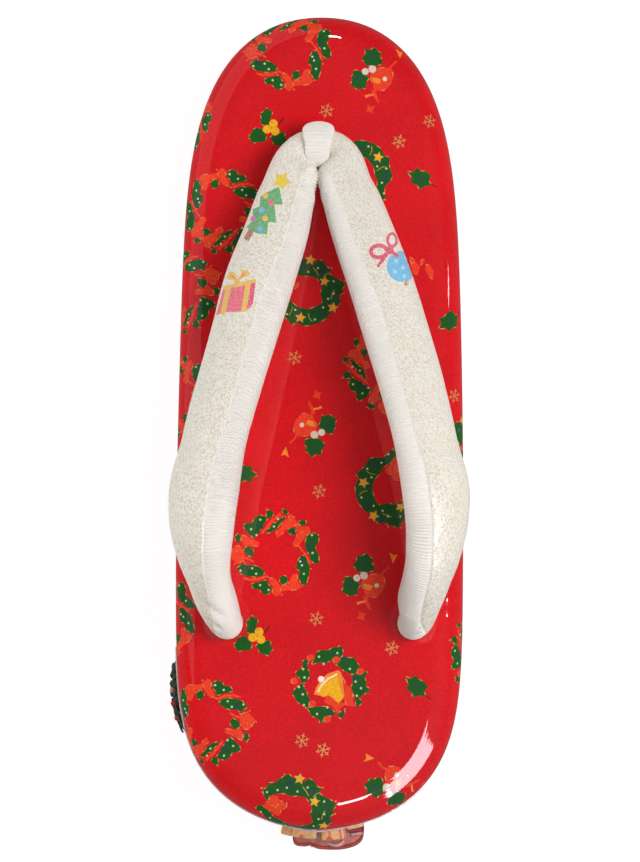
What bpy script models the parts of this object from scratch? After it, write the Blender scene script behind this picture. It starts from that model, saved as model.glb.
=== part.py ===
"""Zori sandal for the left foot: padded footbed, wrapped platform, rubber soles, padded straps and ornaments.

Metres, +Z up. The toe points to -Y, the wearer's outer side is +X, and the origin is on the ground
under the heel, on the sole's centre line. A station is a distance from the toe tip along the sole.
"""
import math
from collections import namedtuple

import bmesh
import bpy
import numpy as np
from mathutils import Vector

MM = 0.001
SEAT_GAP = 0.3 * MM            # clearance between touching curved pieces

# Sole plan
LENGTH = 240.0 * MM
HEEL_REST_STATION = 202.0 * MM
WIDEST_HALF = 42.7 * MM
WIDEST_STATION = 159.0 * MM
WAISTING = 1.88 * MM           # loss of half width WAISTING_RUN away from the widest station
WAISTING_RUN = 95.0 * MM
TOE_ROUND_RUN = 110.5 * MM
TOE_ROUND_POWER = 2.136
HEEL_ROUND_RUN = 83.6 * MM
HEEL_ROUND_POWER = 1.83
ROUND_FLATNESS = 5.0
RIM_STEPS = 36

# Sole side view: height of the cover's top and of the platform's underside above the ground
ProfileRow = namedtuple("ProfileRow", "station top under")
PROFILE = [
    ProfileRow(0.0, 26.2, 8.8),
    ProfileRow(12.0, 25.4, 5.8),
    ProfileRow(26.0, 25.1, 3.8),
    ProfileRow(38.0, 25.1, 3.3),
    ProfileRow(62.0, 25.5, 3.3),
    ProfileRow(96.0, 28.2, 3.3),
    ProfileRow(112.0, 30.8, 4.8),
    ProfileRow(126.0, 33.6, 8.0),
    ProfileRow(140.0, 36.6, 10.8),
    ProfileRow(150.0, 38.6, 11.0),
    ProfileRow(160.0, 40.5, 8.6),
    ProfileRow(168.0, 41.8, 6.3),
    ProfileRow(205.0, 45.9, 6.3),
    ProfileRow(240.0, 47.2, 6.3),
]

# Footbed: a padded board with a rounded shoulder
FOOTBED_THICK = 10.0 * MM
SHOULDER_ACROSS = 7.0 * MM
SHOULDER_DROP = 6.0 * MM
SHOULDER_STEPS = 5
CROWN = 0.8 * MM
FOOTBED_TUCK = 1.6 * MM        # how far the footbed's lower edge pulls in to the groove

# Platform: the wrapped core
WALL_TOP_INSET = 0.8 * MM
WALL_BOTTOM_INSET = 3.4 * MM
WALL_EDGE = 1.2 * MM

# Rubber
RUBBER_INSET = 4.2 * MM
OUTSOLE_THICK = 3.0 * MM
OUTSOLE_END = 120.0 * MM
HEEL_LIFT_START = 168.5 * MM
HEEL_LIFT_THICK = 6.0 * MM
TREAD_DEPTH = 1.0 * MM
TREAD_WIDTH = 2.4 * MM
TREAD_SLOPE = 0.3 * MM
FOREFOOT_TREAD = [44.0, 56.0, 80.0, 92.0]
HEEL_TREAD = [178.0, 190.0, 214.0, 226.0]

# Strap holes
FRONT_HOLE_STATION = 38.5 * MM
FRONT_HOLE_RADIUS = 5.3 * MM
REAR_HOLE_STATION = 178.3 * MM
REAR_HOLE_OFFSET = 27.3 * MM
REAR_HOLE_RADIUS = 6.3 * MM
HOLE_DEPTH = 17.0 * MM
TAIL_DEPTH = 16.0 * MM         # how far a strap or loop reaches down its hole

# Strap: from the middle of the fold to the outer side's rear hole, mirrored for the other side.
# rise is above the cover; tall and thick are the half sizes of the section; lean turns its tall axis.
StrapRow = namedtuple("StrapRow", "station offset rise tall thick lean")
STRAP = [
    StrapRow(38.5, 0.0, 9.5, 4.9, 3.6, 0),
    StrapRow(38.6, 2.6, 9.5, 4.9, 3.7, 2),
    StrapRow(39.6, 5.4, 9.7, 4.9, 4.2, 5),
    StrapRow(42.6, 7.5, 10.1, 5.3, 4.7, 10),
    StrapRow(46.0, 8.4, 10.8, 6.4, 5.3, 18),
    StrapRow(50.2, 8.8, 11.8, 8.1, 5.9, 26),
    StrapRow(55.5, 10.3, 13.3, 9.0, 6.4, 33),
    StrapRow(64.0, 13.0, 15.9, 10.0, 6.9, 40),
    StrapRow(78.0, 17.8, 20.0, 11.4, 7.4, 47),
    StrapRow(92.5, 22.1, 24.0, 12.4, 7.8, 52),
    StrapRow(108.5, 26.9, 28.0, 12.7, 8.0, 54),
    StrapRow(124.5, 31.1, 30.6, 12.7, 8.1, 56),
    StrapRow(140.5, 33.8, 30.8, 12.6, 8.4, 60),
    StrapRow(150.0, 34.3, 29.0, 12.3, 8.2, 67),
    StrapRow(158.0, 33.9, 25.2, 11.4, 7.5, 76),
    StrapRow(165.4, 32.6, 19.4, 10.0, 6.8, 86),
    StrapRow(170.8, 31.0, 13.6, 8.5, 6.4, 94),
    StrapRow(175.2, 29.3, 7.9, 7.5, 6.3, 104),
    StrapRow(177.9, 27.9, 3.2, 6.5, 6.2, 110),
    StrapRow(178.2, 27.35, -0.8, 5.4, 5.5, 112),
    StrapRow(178.3, 27.3, -5.0, 5.3, 5.3, 112),
]
STRAP_SIDES = 14

# Front loop: a band folded over the strap, both legs down the front hole; ahead is towards the toe
LoopRow = namedtuple("LoopRow", "ahead rise half_width half_thick")
LOOP = [
    LoopRow(2.1, -5.0, 3.4, 1.3),
    LoopRow(2.4, -0.5, 3.5, 1.4),
    LoopRow(4.2, 2.8, 4.2, 1.4),
    LoopRow(6.1, 6.2, 4.6, 1.3),
    LoopRow(6.45, 9.6, 4.75, 1.2),
    LoopRow(5.2, 13.0, 4.7, 1.15),
    LoopRow(2.3, 14.85, 4.4, 1.05),
    LoopRow(-1.0, 14.95, 3.7, 1.0),
    LoopRow(-4.2, 13.2, 2.7, 0.8),
    LoopRow(-5.95, 9.8, 1.9, 0.6),
    LoopRow(-5.7, 6.2, 1.9, 0.6),
    LoopRow(-4.2, 2.8, 2.6, 1.0),
    LoopRow(-2.4, -0.5, 3.4, 1.3),
    LoopRow(-2.1, -5.0, 3.4, 1.3),
]
LOOP_SIDES = 10

# Ornaments, glued to the platform's wall; arc runs round the outline from the heel's middle to +X
WREATH_STATION = 201.4 * MM
WREATH_HEIGHT = 22.5 * MM
WREATH_RADIUS = 7.6 * MM
WREATH_BAND = 2.9 * MM
WREATH_OUT = 3.6 * MM
BERRY_RADIUS = 1.5 * MM
BERRY_ANGLES = [82, 108, 136]
BOW_HALF_SPAN = 4.4 * MM
BOW_HALF_TALL = 2.5 * MM
BOW_BACK = 1.2 * MM
BOW_OUT = 4.7 * MM
SLEIGH_HALF_SPAN = 12.2 * MM
SLEIGH_LOW = 13.0 * MM
SLEIGH_HIGH = 20.5 * MM
SLEIGH_OUT = 7.4 * MM
GIFT_EDGE = 0.5 * MM

GiftRow = namedtuple("GiftRow", "name start end tall out")
GIFTS = [
    GiftRow("gift_box_outer", 8.2, 11.6, 6.5, 5.0),
    GiftRow("gift_box_tall", 1.2, 7.9, 9.0, 4.8),
    GiftRow("gift_box_square", -7.4, 0.2, 7.6, 5.2),
    GiftRow("gift_box_inner", -12.0, -7.7, 4.6, 3.6),
]


def clear_scene():
    """Remove every object of the startup scene."""
    for item in list(bpy.data.objects):
        bpy.data.objects.remove(item, do_unlink=True)


def material(name, colour, roughness, metallic=0.0):
    """A Principled material of one colour."""
    made = bpy.data.materials.new(name)
    made.use_nodes = True
    shader = made.node_tree.nodes["Principled BSDF"]
    shader.inputs["Base Color"].default_value = (*colour, 1.0)
    shader.inputs["Roughness"].default_value = roughness
    shader.inputs["Metallic"].default_value = metallic
    made.diffuse_color = (*colour, 1.0)
    return made


def smooth_through(xs, ys):
    """A function of x through the points, without overshoot, flat between equal neighbours."""
    xs = np.array(xs, dtype=float)
    ys = np.array(ys, dtype=float)
    gaps = np.diff(xs)
    slopes = np.diff(ys) / gaps
    tangents = np.concatenate([slopes[:1], np.zeros(len(xs) - 2), slopes[-1:]])
    for i in range(1, len(xs) - 1):
        before, after = slopes[i - 1], slopes[i]
        if before * after > 0:
            lean_before = gaps[i - 1] + 2 * gaps[i]
            lean_after = 2 * gaps[i - 1] + gaps[i]
            tangents[i] = (lean_before + lean_after) / (lean_before / before + lean_after / after)

    def value(x):
        i = int(np.clip(np.searchsorted(xs, x) - 1, 0, len(gaps) - 1))
        t = (x - xs[i]) / gaps[i]
        rise = ys[i + 1] - ys[i]
        start, end = tangents[i] * gaps[i], tangents[i + 1] * gaps[i]
        return float(ys[i] + t * start + t * t * (3 * rise - 2 * start - end)
                     + t * t * t * (start + end - 2 * rise))

    return value


PROFILE_STATIONS = [row.station * MM for row in PROFILE]
top_height = smooth_through(PROFILE_STATIONS, [row.top * MM for row in PROFILE])
under_height = smooth_through(PROFILE_STATIONS, [row.under * MM for row in PROFILE])


# ---- the sole's outline ----

def end_round(distance, run, power):
    """Share of the half width that is left at a distance from a rounded end."""
    left = max(0.0, 1.0 - distance / run)
    return max(0.0, 1.0 - left ** ROUND_FLATNESS) ** (1.0 / power)


def half_width(station):
    """Half width of the sole's outline at a station."""
    waist = WAISTING * ((station - WIDEST_STATION) / WAISTING_RUN) ** 2
    toe = end_round(station, TOE_ROUND_RUN, TOE_ROUND_POWER)
    heel = end_round(LENGTH - station, HEEL_ROUND_RUN, HEEL_ROUND_POWER)
    return (WIDEST_HALF - waist) * toe * heel


def station_at(turn):
    """Station for a turn of 0 at the toe tip to pi at the heel end."""
    return 0.5 * LENGTH * (1.0 - math.cos(turn))


def turn_at(station):
    """Inverse of station_at."""
    return math.acos(1.0 - 2.0 * station / LENGTH)


def rim_point(turn, inset):
    """(x, station) on the +X side of the outline, moved inwards by inset, with the outward normal."""
    step = 1e-4
    low, high = max(0.0, turn - step), min(math.pi, turn + step)
    along = station_at(high) - station_at(low)
    across = half_width(station_at(high)) - half_width(station_at(low))
    size = math.hypot(along, across)
    normal = (along / size, -across / size)
    if turn < step:
        normal = (0.0, -1.0)
    if turn > math.pi - step:
        normal = (0.0, 1.0)
    station = station_at(turn)
    x = half_width(station) - inset * normal[0]
    return x, station - inset * normal[1], normal


def rim_turns(first, last, extra=()):
    """Turns of the rim's points between two stations, with extra stations among them."""
    turns = [math.pi * k / RIM_STEPS for k in range(RIM_STEPS + 1)]
    kept = [t for t in turns if turn_at(first) < t < turn_at(last)]
    kept += [turn_at(station) for station in extra]
    return [turn_at(first)] + sorted(kept) + [turn_at(last)]


def at(x, station, z):
    """A point of the part's frame."""
    return Vector((x, station - HEEL_REST_STATION, z))


# ---- meshes ----

def add_object(name, mesh_builder, finish):
    """Turn a bmesh into a named object with outward faces."""
    bmesh.ops.recalc_face_normals(mesh_builder, faces=mesh_builder.faces)
    mesh = bpy.data.meshes.new(name)
    mesh_builder.to_mesh(mesh)
    mesh_builder.free()
    item = bpy.data.objects.new(name, mesh)
    bpy.context.collection.objects.link(item)
    mesh.materials.append(finish)
    return item


def smooth(item, angle=40):
    """Shade an object smooth, apart from its sharp edges."""
    item.data.shade_smooth()
    item.data.set_sharp_from_angle(angle=math.radians(angle))


def loft(name, rings, finish, closed=False):
    """A closed body through rings of equal count, with a cap on each end unless it closes on itself."""
    build = bmesh.new()
    rows = [[build.verts.new(point) for point in ring] for ring in rings]
    pairs = list(zip(rows, rows[1:]))
    if closed:
        pairs.append((rows[-1], rows[0]))
    for low, high in pairs:
        for i in range(len(low)):
            j = (i + 1) % len(low)
            build.faces.new((low[i], low[j], high[j], high[i]))
    if not closed:
        build.faces.new(list(reversed(rows[0])))
        build.faces.new(rows[-1])
    return add_object(name, build, finish)


def sole_layer(name, rings, finish, first=0.0, last=LENGTH, extra=(), crown=0.0):
    """A layer of the sole. Each ring is (inset, height at a station); the first and last are capped."""
    build = bmesh.new()
    turns = rim_turns(first, last, extra)
    tip_start, tip_end = first == 0.0, last == LENGTH
    side_turns = turns[1 if tip_start else 0:len(turns) - 1 if tip_end else len(turns)]

    def ring_vertices(inset, height):
        side = [rim_point(turn, inset) for turn in side_turns]
        start = rim_point(0.0, inset)[1] if tip_start else side[0][1]
        end = rim_point(math.pi, inset)[1] if tip_end else side[-1][1]
        plus = [build.verts.new(at(x, s, height(s))) for x, s, _ in side]
        minus = [build.verts.new(at(-x, s, height(s))) for x, s, _ in side]
        head = build.verts.new(at(0.0, start, height(start)))
        tail = build.verts.new(at(0.0, end, height(end)))
        return head, plus, tail, minus, side

    def cap(ring, height, bulge):
        head, plus, tail, minus, side = ring
        widest = max(x for x, _, _ in side)
        middle = []
        for x, s, _ in side:
            middle.append(build.verts.new(at(0.0, s, height(s) + bulge * (x / widest) ** 2)))
        if not tip_start:
            build.verts.remove(middle[0])
            middle[0] = head
        if not tip_end:
            build.verts.remove(middle[-1])
            middle[-1] = tail
        for i in range(len(side) - 1):
            build.faces.new((plus[i], plus[i + 1], middle[i + 1], middle[i]))
            build.faces.new((middle[i], middle[i + 1], minus[i + 1], minus[i]))
        if tip_start:
            build.faces.new((head, plus[0], middle[0]))
            build.faces.new((head, middle[0], minus[0]))
        if tip_end:
            build.faces.new((tail, middle[-1], plus[-1]))
            build.faces.new((tail, minus[-1], middle[-1]))

    made = [ring_vertices(inset, height) for inset, height in rings]
    for upper, lower in zip(made, made[1:]):
        loop_up = [upper[0], *upper[1], upper[2], *reversed(upper[3])]
        loop_low = [lower[0], *lower[1], lower[2], *reversed(lower[3])]
        for i in range(len(loop_up)):
            j = (i + 1) % len(loop_up)
            build.faces.new((loop_up[i], loop_up[j], loop_low[j], loop_low[i]))
    cap(made[0], rings[0][1], crown)
    cap(made[-1], rings[-1][1], 0.0)
    return add_object(name, build, finish)


def below_top(drop):
    """Height function that lies a drop below the cover's top."""
    return lambda station: top_height(station) - drop


def above_under(lift):
    """Height function that lies a lift above the platform's underside."""
    return lambda station: under_height(station) + lift


def footbed(finish):
    """The padded top board with its rounded shoulder and tucked lower edge."""
    rings = []
    for step in range(SHOULDER_STEPS + 1):
        turn = 0.5 * math.pi * step / SHOULDER_STEPS
        across = SHOULDER_ACROSS * (1.0 - math.sin(turn))
        rings.append((across, below_top(SHOULDER_DROP * (1.0 - math.cos(turn)))))
    rings.append((0.0, below_top(FOOTBED_THICK - 2.0 * MM)))
    rings.append((0.5 * MM, below_top(FOOTBED_THICK - 0.7 * MM)))
    rings.append((FOOTBED_TUCK, below_top(FOOTBED_THICK)))
    return sole_layer("footbed", rings, finish, crown=CROWN)


def wall_inset(station, height):
    """How far the platform's wall lies inside the outline at a height."""
    high = top_height(station) - FOOTBED_THICK - SEAT_GAP - WALL_EDGE
    low = under_height(station) + WALL_EDGE
    share = (high - height) / (high - low)
    return WALL_TOP_INSET + share * (WALL_BOTTOM_INSET - WALL_TOP_INSET)


def platform(finish):
    """The wrapped core, which tapers in towards the ground and arches under the waist."""
    top_drop = FOOTBED_THICK + SEAT_GAP
    rings = [
        (FOOTBED_TUCK, below_top(top_drop)),
        (WALL_TOP_INSET, below_top(top_drop + WALL_EDGE)),
        (WALL_BOTTOM_INSET, above_under(WALL_EDGE)),
        (WALL_BOTTOM_INSET + WALL_EDGE, above_under(0.0)),
    ]
    return sole_layer("platform", rings, finish)


def tread_stations(middles):
    """Stations of the edges of the tread grooves."""
    half = 0.5 * TREAD_WIDTH
    edges = []
    for middle in middles:
        station = middle * MM
        edges += [station - half, station - half + TREAD_SLOPE, station + half - TREAD_SLOPE, station + half]
    return edges


def tread_lift(station, middles):
    """Depth of the tread at a station."""
    reach = min(abs(station - middle * MM) for middle in middles)
    share = (0.5 * TREAD_WIDTH - reach) / TREAD_SLOPE
    return TREAD_DEPTH * min(1.0, max(0.0, share))


def forefoot_outsole(finish):
    """The thin rubber under the forefoot, which follows the toe spring and runs up into the arch."""
    thick = OUTSOLE_THICK + SEAT_GAP

    def ground(station):
        return under_height(station) - thick + tread_lift(station, FOREFOOT_TREAD)

    rings = [
        (RUBBER_INSET, above_under(-SEAT_GAP)),
        (RUBBER_INSET + 0.3 * MM, ground),
    ]
    return sole_layer("forefoot_outsole", rings, finish, last=OUTSOLE_END,
                      extra=tread_stations(FOREFOOT_TREAD))


def heel_lift(finish):
    """The rubber block under the heel."""
    rings = [
        (RUBBER_INSET, lambda station: HEEL_LIFT_THICK),
        (RUBBER_INSET + 0.8 * MM, lambda station: tread_lift(station, HEEL_TREAD)),
    ]
    return sole_layer("heel_lift", rings, finish, first=HEEL_LIFT_START, extra=tread_stations(HEEL_TREAD))


def hole_cutter(name, x, station, radius):
    """A hidden cylinder that cuts a strap's hole through the footbed and into the platform."""
    top = top_height(station) + 4.0 * MM
    bottom = top_height(station) - HOLE_DEPTH
    build = bmesh.new()
    bmesh.ops.create_cone(build, cap_ends=True, segments=20, radius1=radius, radius2=radius,
                          depth=top - bottom)
    bmesh.ops.translate(build, verts=build.verts, vec=at(x, station, 0.5 * (top + bottom)))
    cutter = add_object(name, build, material(name, (0.5, 0.5, 0.5), 0.5))
    cutter.hide_render = True
    cutter.display_type = "WIRE"
    return cutter


def cut(item, cutters):
    """Cut the holes out of a piece."""
    for cutter in cutters:
        knife = item.modifiers.new(cutter.name, "BOOLEAN")
        knife.operation = "DIFFERENCE"
        knife.solver = "EXACT"
        knife.object = cutter


# ---- straps ----

def columns_along(rows, places):
    """Smooth functions of the run along the rows' places, one for each named column."""
    runs = [0.0]
    for before, after in zip(places, places[1:]):
        runs.append(runs[-1] + (after - before).length)
    fields = {name: smooth_through(runs, [getattr(row, name) for row in rows]) for name in rows[0]._fields}
    return runs, fields


def between(runs):
    """The runs with a middle one added in each gap."""
    filled = []
    for low, high in zip(runs, runs[1:]):
        filled += [low, 0.5 * (low + high)]
    return filled + [runs[-1]]


def strap_sections():
    """Rings of the strap's +X side, from the middle of the fold to the rear hole."""
    rows = STRAP + [STRAP[-1]._replace(rise=-TAIL_DEPTH / MM)]
    places = [at(row.offset * MM, row.station * MM, top_height(row.station * MM) + row.rise * MM)
              for row in rows]
    runs, fields = columns_along(rows, places)

    def centre(run):
        station = fields["station"](run) * MM
        return at(fields["offset"](run) * MM, station, top_height(station) + fields["rise"](run) * MM)

    rings = []
    outwards = Vector((0.0, -1.0, 0.0))
    for run in between(runs):
        step = 0.2 * MM
        travel = (centre(min(run + step, runs[-1])) - centre(max(run - step, 0.0))).normalized()
        if run == 0.0:
            travel = Vector((1.0, 0.0, 0.0))
        level = travel.cross(Vector((0.0, 0.0, 1.0)))
        if level.length > 0.12:
            outwards = level.normalized()
        upwards = outwards.cross(travel).normalized()
        lean = math.radians(fields["lean"](run))
        tall_axis = upwards * math.sin(lean) - outwards * math.cos(lean)
        thick_axis = outwards * math.sin(lean) + upwards * math.cos(lean)
        tall, thick = fields["tall"](run) * MM, fields["thick"](run) * MM
        ring = []
        for k in range(STRAP_SIDES):
            turn = 2.0 * math.pi * k / STRAP_SIDES
            ring.append(centre(run) + tall_axis * (tall * math.cos(turn))
                        + thick_axis * (thick * math.sin(turn)))
        rings.append(ring)
    return rings


def hanao_strap(finish):
    """The padded strap: one tube from rear hole to rear hole, folded at the front loop."""
    side = strap_sections()
    other = [[Vector((-p.x, p.y, p.z)) for p in ring] for ring in side[:0:-1]]
    return loft("hanao_strap", other + side, finish)


def front_loop(finish):
    """The band that holds the strap's fold down on the toe side."""
    rows = [LOOP[0]._replace(rise=-TAIL_DEPTH / MM)] + LOOP + [LOOP[-1]._replace(rise=-TAIL_DEPTH / MM)]
    base = top_height(FRONT_HOLE_STATION)
    places = [at(0.0, FRONT_HOLE_STATION - row.ahead * MM, base + row.rise * MM) for row in rows]
    runs, fields = columns_along(rows, places)

    def centre(run):
        return at(0.0, FRONT_HOLE_STATION - fields["ahead"](run) * MM, base + fields["rise"](run) * MM)

    rings = []
    across = Vector((1.0, 0.0, 0.0))
    for run in between(runs):
        step = 0.2 * MM
        travel = (centre(min(run + step, runs[-1])) - centre(max(run - step, 0.0))).normalized()
        outwards = travel.cross(across).normalized()
        half_wide, half_thick = fields["half_width"](run) * MM, fields["half_thick"](run) * MM
        ring = []
        for k in range(LOOP_SIDES):
            turn = 2.0 * math.pi * (k + 0.5) / LOOP_SIDES
            ring.append(centre(run) + across * (half_wide * math.cos(turn))
                        + outwards * (half_thick * math.sin(turn)))
        rings.append(ring)
    return loft("front_loop", rings, finish)


# ---- ornaments ----

def outline_by_arc():
    """Turns of the +X outline with their arc length from the heel's middle."""
    turns = [math.pi * k / 720 for k in range(720, -1, -1)]
    places = [Vector(rim_point(turn, 0.0)[:2]) for turn in turns]
    arcs = [0.0]
    for before, after in zip(places, places[1:]):
        arcs.append(arcs[-1] + (after - before).length)
    return turns, arcs


OUTLINE_TURNS, OUTLINE_ARCS = outline_by_arc()


def on_wall(arc, height, out):
    """A point a distance out from the platform's wall; arc is positive on the +X side."""
    turn = float(np.interp(abs(arc), OUTLINE_ARCS, OUTLINE_TURNS))
    side = 1.0 if arc >= 0.0 else -1.0
    inset = wall_inset(station_at(turn), height) - SEAT_GAP - out
    x, station, _ = rim_point(turn, inset)
    return at(side * x, station, height)


def arc_at(station):
    """Arc length from the heel's middle to a station on the +X side."""
    return float(np.interp(-turn_at(station), [-turn for turn in OUTLINE_TURNS], OUTLINE_ARCS))


WREATH_ARC = arc_at(WREATH_STATION)


def wreath_ring(finish):
    """The wreath's ring of greenery, flat against the wall."""
    rings = []
    for k in range(20):
        turn = 2.0 * math.pi * k / 20
        ring = []
        for j in range(8):
            tilt = 2.0 * math.pi * j / 8
            radius = WREATH_RADIUS + WREATH_BAND * math.cos(tilt)
            out = 0.5 * WREATH_OUT * (1.0 + math.sin(tilt))
            ring.append(on_wall(WREATH_ARC + radius * math.cos(turn),
                                WREATH_HEIGHT + radius * math.sin(turn), out))
        rings.append(ring)
    return loft("wreath_ornament", rings, finish, closed=True)


def berry(angle, finish):
    """A round berry half sunk in the ring at an angle."""
    turn = math.radians(angle)
    place = on_wall(WREATH_ARC + WREATH_RADIUS * math.cos(turn),
                    WREATH_HEIGHT + WREATH_RADIUS * math.sin(turn), WREATH_OUT - 0.8 * BERRY_RADIUS)
    build = bmesh.new()
    bmesh.ops.create_uvsphere(build, u_segments=10, v_segments=7, radius=BERRY_RADIUS)
    bmesh.ops.translate(build, verts=build.verts, vec=place)
    return add_object(f"berry_{angle}", build, finish)


def bow(finish):
    """A ribbon bow on the lower part of the ring: two loops pinched at the knot."""
    spans = [-1.0, -0.85, -0.45, -0.14, 0.14, 0.45, 0.85, 1.0]
    talls = [0.55, 0.95, 0.7, 0.32, 0.32, 0.7, 0.95, 0.55]
    section = [(-0.8, 0.0), (-1.0, 0.5), (-0.6, 1.0), (0.6, 1.0), (1.0, 0.5), (0.8, 0.0)]
    middle = WREATH_HEIGHT - WREATH_RADIUS
    rings = []
    for span, tall in zip(spans, talls):
        arc = WREATH_ARC + span * BOW_HALF_SPAN
        deep = (BOW_OUT - BOW_BACK) * (0.7 + 0.3 * tall)
        rings.append([on_wall(arc, middle + v * tall * BOW_HALF_TALL, BOW_BACK + w * deep)
                      for v, w in section])
    return loft("bow", rings, finish)


def wreath_ornament(finish):
    """The moulded wreath in one piece: ring, bow and berries."""
    ring = wreath_ring(finish)
    for lump in [bow(finish)] + [berry(angle, finish) for angle in BERRY_ANGLES]:
        lump.hide_render = True
        lump.display_type = "WIRE"
        weld = ring.modifiers.new(lump.name, "BOOLEAN")
        weld.operation = "UNION"
        weld.solver = "EXACT"
        weld.object = lump
    return ring


def wall_block(name, start, end, low, high, out, edge, finish):
    """A block with eased edges, bent to the platform's wall."""
    steps = max(2, int(round((end - start) / (3.0 * MM))))
    spans = [start] + [start + edge + (end - start - 2 * edge) * k / steps for k in range(steps + 1)] + [end]
    rings = []
    for span in spans:
        ease = edge if span in (start, end) else 0.0
        rings.append([
            on_wall(span, low + ease, 0.0),
            on_wall(span, low + ease, out - edge - ease),
            on_wall(span, low + ease + edge, out - ease),
            on_wall(span, high - ease - edge, out - ease),
            on_wall(span, high - ease, out - edge - ease),
            on_wall(span, high - ease, 0.0),
        ])
    return loft(name, rings, finish)


def heel_sleigh(finish):
    """A low sleigh on the heel's back that carries the gift boxes; its front curls up on the inner side."""
    spans = [-1.0, -0.93, -0.7, -0.35, 0.0, 0.35, 0.62, 0.7]
    outs = [0.55, 0.72, 0.9, 1.0, 0.98, 0.94, 0.86, 0.7]
    keels = [0.55, 0.3, 0.08, 0.0, 0.0, 0.06, 0.22, 0.4]
    tall = SLEIGH_HIGH - SLEIGH_LOW
    rings = []
    for span, reach, keel in zip(spans, outs, keels):
        arc = span * SLEIGH_HALF_SPAN
        out = reach * SLEIGH_OUT
        low = SLEIGH_LOW + keel * tall
        rings.append([
            on_wall(arc, low + 0.8 * MM, 0.0),
            on_wall(arc, low, 0.45 * out),
            on_wall(arc, low + 0.25 * (SLEIGH_HIGH - low), 0.86 * out),
            on_wall(arc, SLEIGH_HIGH - 0.8 * MM, out),
            on_wall(arc, SLEIGH_HIGH, out - 0.8 * MM),
            on_wall(arc, SLEIGH_HIGH, 0.0),
        ])
    return loft("heel_sleigh", rings, finish)


def gift_boxes(finish):
    """Gift boxes that stand on the sleigh, against the heel's wall."""
    made = []
    floor = SLEIGH_HIGH + SEAT_GAP
    for row in GIFTS:
        made.append(wall_block(row.name, row.start * MM, row.end * MM, floor, floor + row.tall * MM,
                               row.out * MM, GIFT_EDGE, finish))
    return made


def main():
    """Build every piece of the sandal."""
    clear_scene()
    cover = material("printed_cover", (0.55, 0.01, 0.015), 0.12)
    wrap = material("printed_wrap", (0.5, 0.01, 0.015), 0.2)
    rubber = material("sole_rubber", (0.05, 0.045, 0.04), 0.7)
    cloth = material("lame_cloth", (0.75, 0.7, 0.62), 0.5)
    lining = material("ribbed_lining", (0.86, 0.84, 0.83), 0.7)
    green = material("green_resin", (0.02, 0.09, 0.03), 0.35)
    wood = material("rosewood_resin", (0.3, 0.09, 0.09), 0.4)
    tan = material("tan_resin", (0.6, 0.42, 0.22), 0.4)

    cutters = [hole_cutter("front_hole_cutter", 0.0, FRONT_HOLE_STATION, FRONT_HOLE_RADIUS)]
    for side, label in ((1.0, "outer"), (-1.0, "inner")):
        cutters.append(hole_cutter(f"rear_hole_cutter_{label}", side * REAR_HOLE_OFFSET,
                                   REAR_HOLE_STATION, REAR_HOLE_RADIUS))
    board = footbed(cover)
    core = platform(wrap)
    cut(board, cutters)
    cut(core, cutters)
    pieces = [board, core, forefoot_outsole(rubber), heel_lift(rubber), hanao_strap(cloth),
              front_loop(lining), wreath_ornament(green), heel_sleigh(wood)]
    pieces += gift_boxes(tan)
    for item in pieces:
        smooth(item)


main()
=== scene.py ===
import math
from collections import namedtuple

import bmesh
import bpy
import numpy as np
from mathutils import Matrix, Vector, kdtree
from mathutils.geometry import delaunay_2d_cdt


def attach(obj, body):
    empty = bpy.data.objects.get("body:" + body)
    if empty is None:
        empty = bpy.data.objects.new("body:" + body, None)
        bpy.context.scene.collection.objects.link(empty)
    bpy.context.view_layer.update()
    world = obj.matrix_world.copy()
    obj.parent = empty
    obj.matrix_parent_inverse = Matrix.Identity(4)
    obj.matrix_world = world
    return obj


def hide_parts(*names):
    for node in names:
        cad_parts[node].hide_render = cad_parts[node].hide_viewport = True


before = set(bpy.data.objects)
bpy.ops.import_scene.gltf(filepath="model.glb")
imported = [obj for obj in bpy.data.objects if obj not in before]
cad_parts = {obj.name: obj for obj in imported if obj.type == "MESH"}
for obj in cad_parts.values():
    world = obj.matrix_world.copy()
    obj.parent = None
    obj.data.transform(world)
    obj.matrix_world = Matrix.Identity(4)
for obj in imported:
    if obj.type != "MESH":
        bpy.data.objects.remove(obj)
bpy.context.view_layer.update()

MM = 0.001
FULL_TURN = 2.0 * math.pi

# Sole plan and side view, as in the CAD
TOE_START = -0.45
HEEL_END = 239.1
LENGTH = HEEL_END - TOE_START
HEEL_REST_STATION = 202.0
WIDEST_HALF = 42.3
WIDEST_STATION = 148.1
WAISTING = 1.81
WAISTING_RUN = 95.0
TOE_ROUND_RUN = 107.8
TOE_ROUND_POWER = 2.157
HEEL_ROUND_RUN = 79.9
HEEL_ROUND_POWER = 1.82
ROUND_FLATNESS = 5.0
PROFILE_STATIONS = [0, 12, 26, 38, 62, 96, 112, 126, 140, 150, 160, 168, 205, 240]
PROFILE_TOPS = [26.2, 25.4, 25.1, 25.1, 25.5, 28.2, 30.8, 33.6, 36.6, 38.6, 40.5, 41.8, 45.9, 47.2]
PROFILE_UNDERS = [8.8, 5.8, 3.8, 3.3, 3.3, 3.3, 4.8, 8.0, 10.8, 11.0, 8.6, 6.3, 6.3, 6.3]

# Cover and wrapped platform
COVER_THICK = 10.0
SHOULDER_ACROSS = 9.0
SHOULDER_DROP = 6.0
SIDE_DROP = 8.0
COVER_TUCK = 1.6
CROWN = 0.8
SEAT_GAP = 0.3
WALL_TOP_INSET = 0.8
WALL_BOTTOM_INSET = 3.4
WALL_EDGE = 1.2

# Rubber soles
RUBBER_INSET = 4.2
OUTSOLE_THICK = 3.0
OUTSOLE_END = 120.0
HEEL_LIFT_START = 168.5
HEEL_LIFT_THICK = 6.0
FOREFOOT_TREAD = [44.0, 56.0, 80.0, 92.0]
HEEL_TREAD = [178.0, 190.0, 214.0, 226.0]
GROOVE_HALF = 1.2
GROOVE_SLOPE = 0.3

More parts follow.
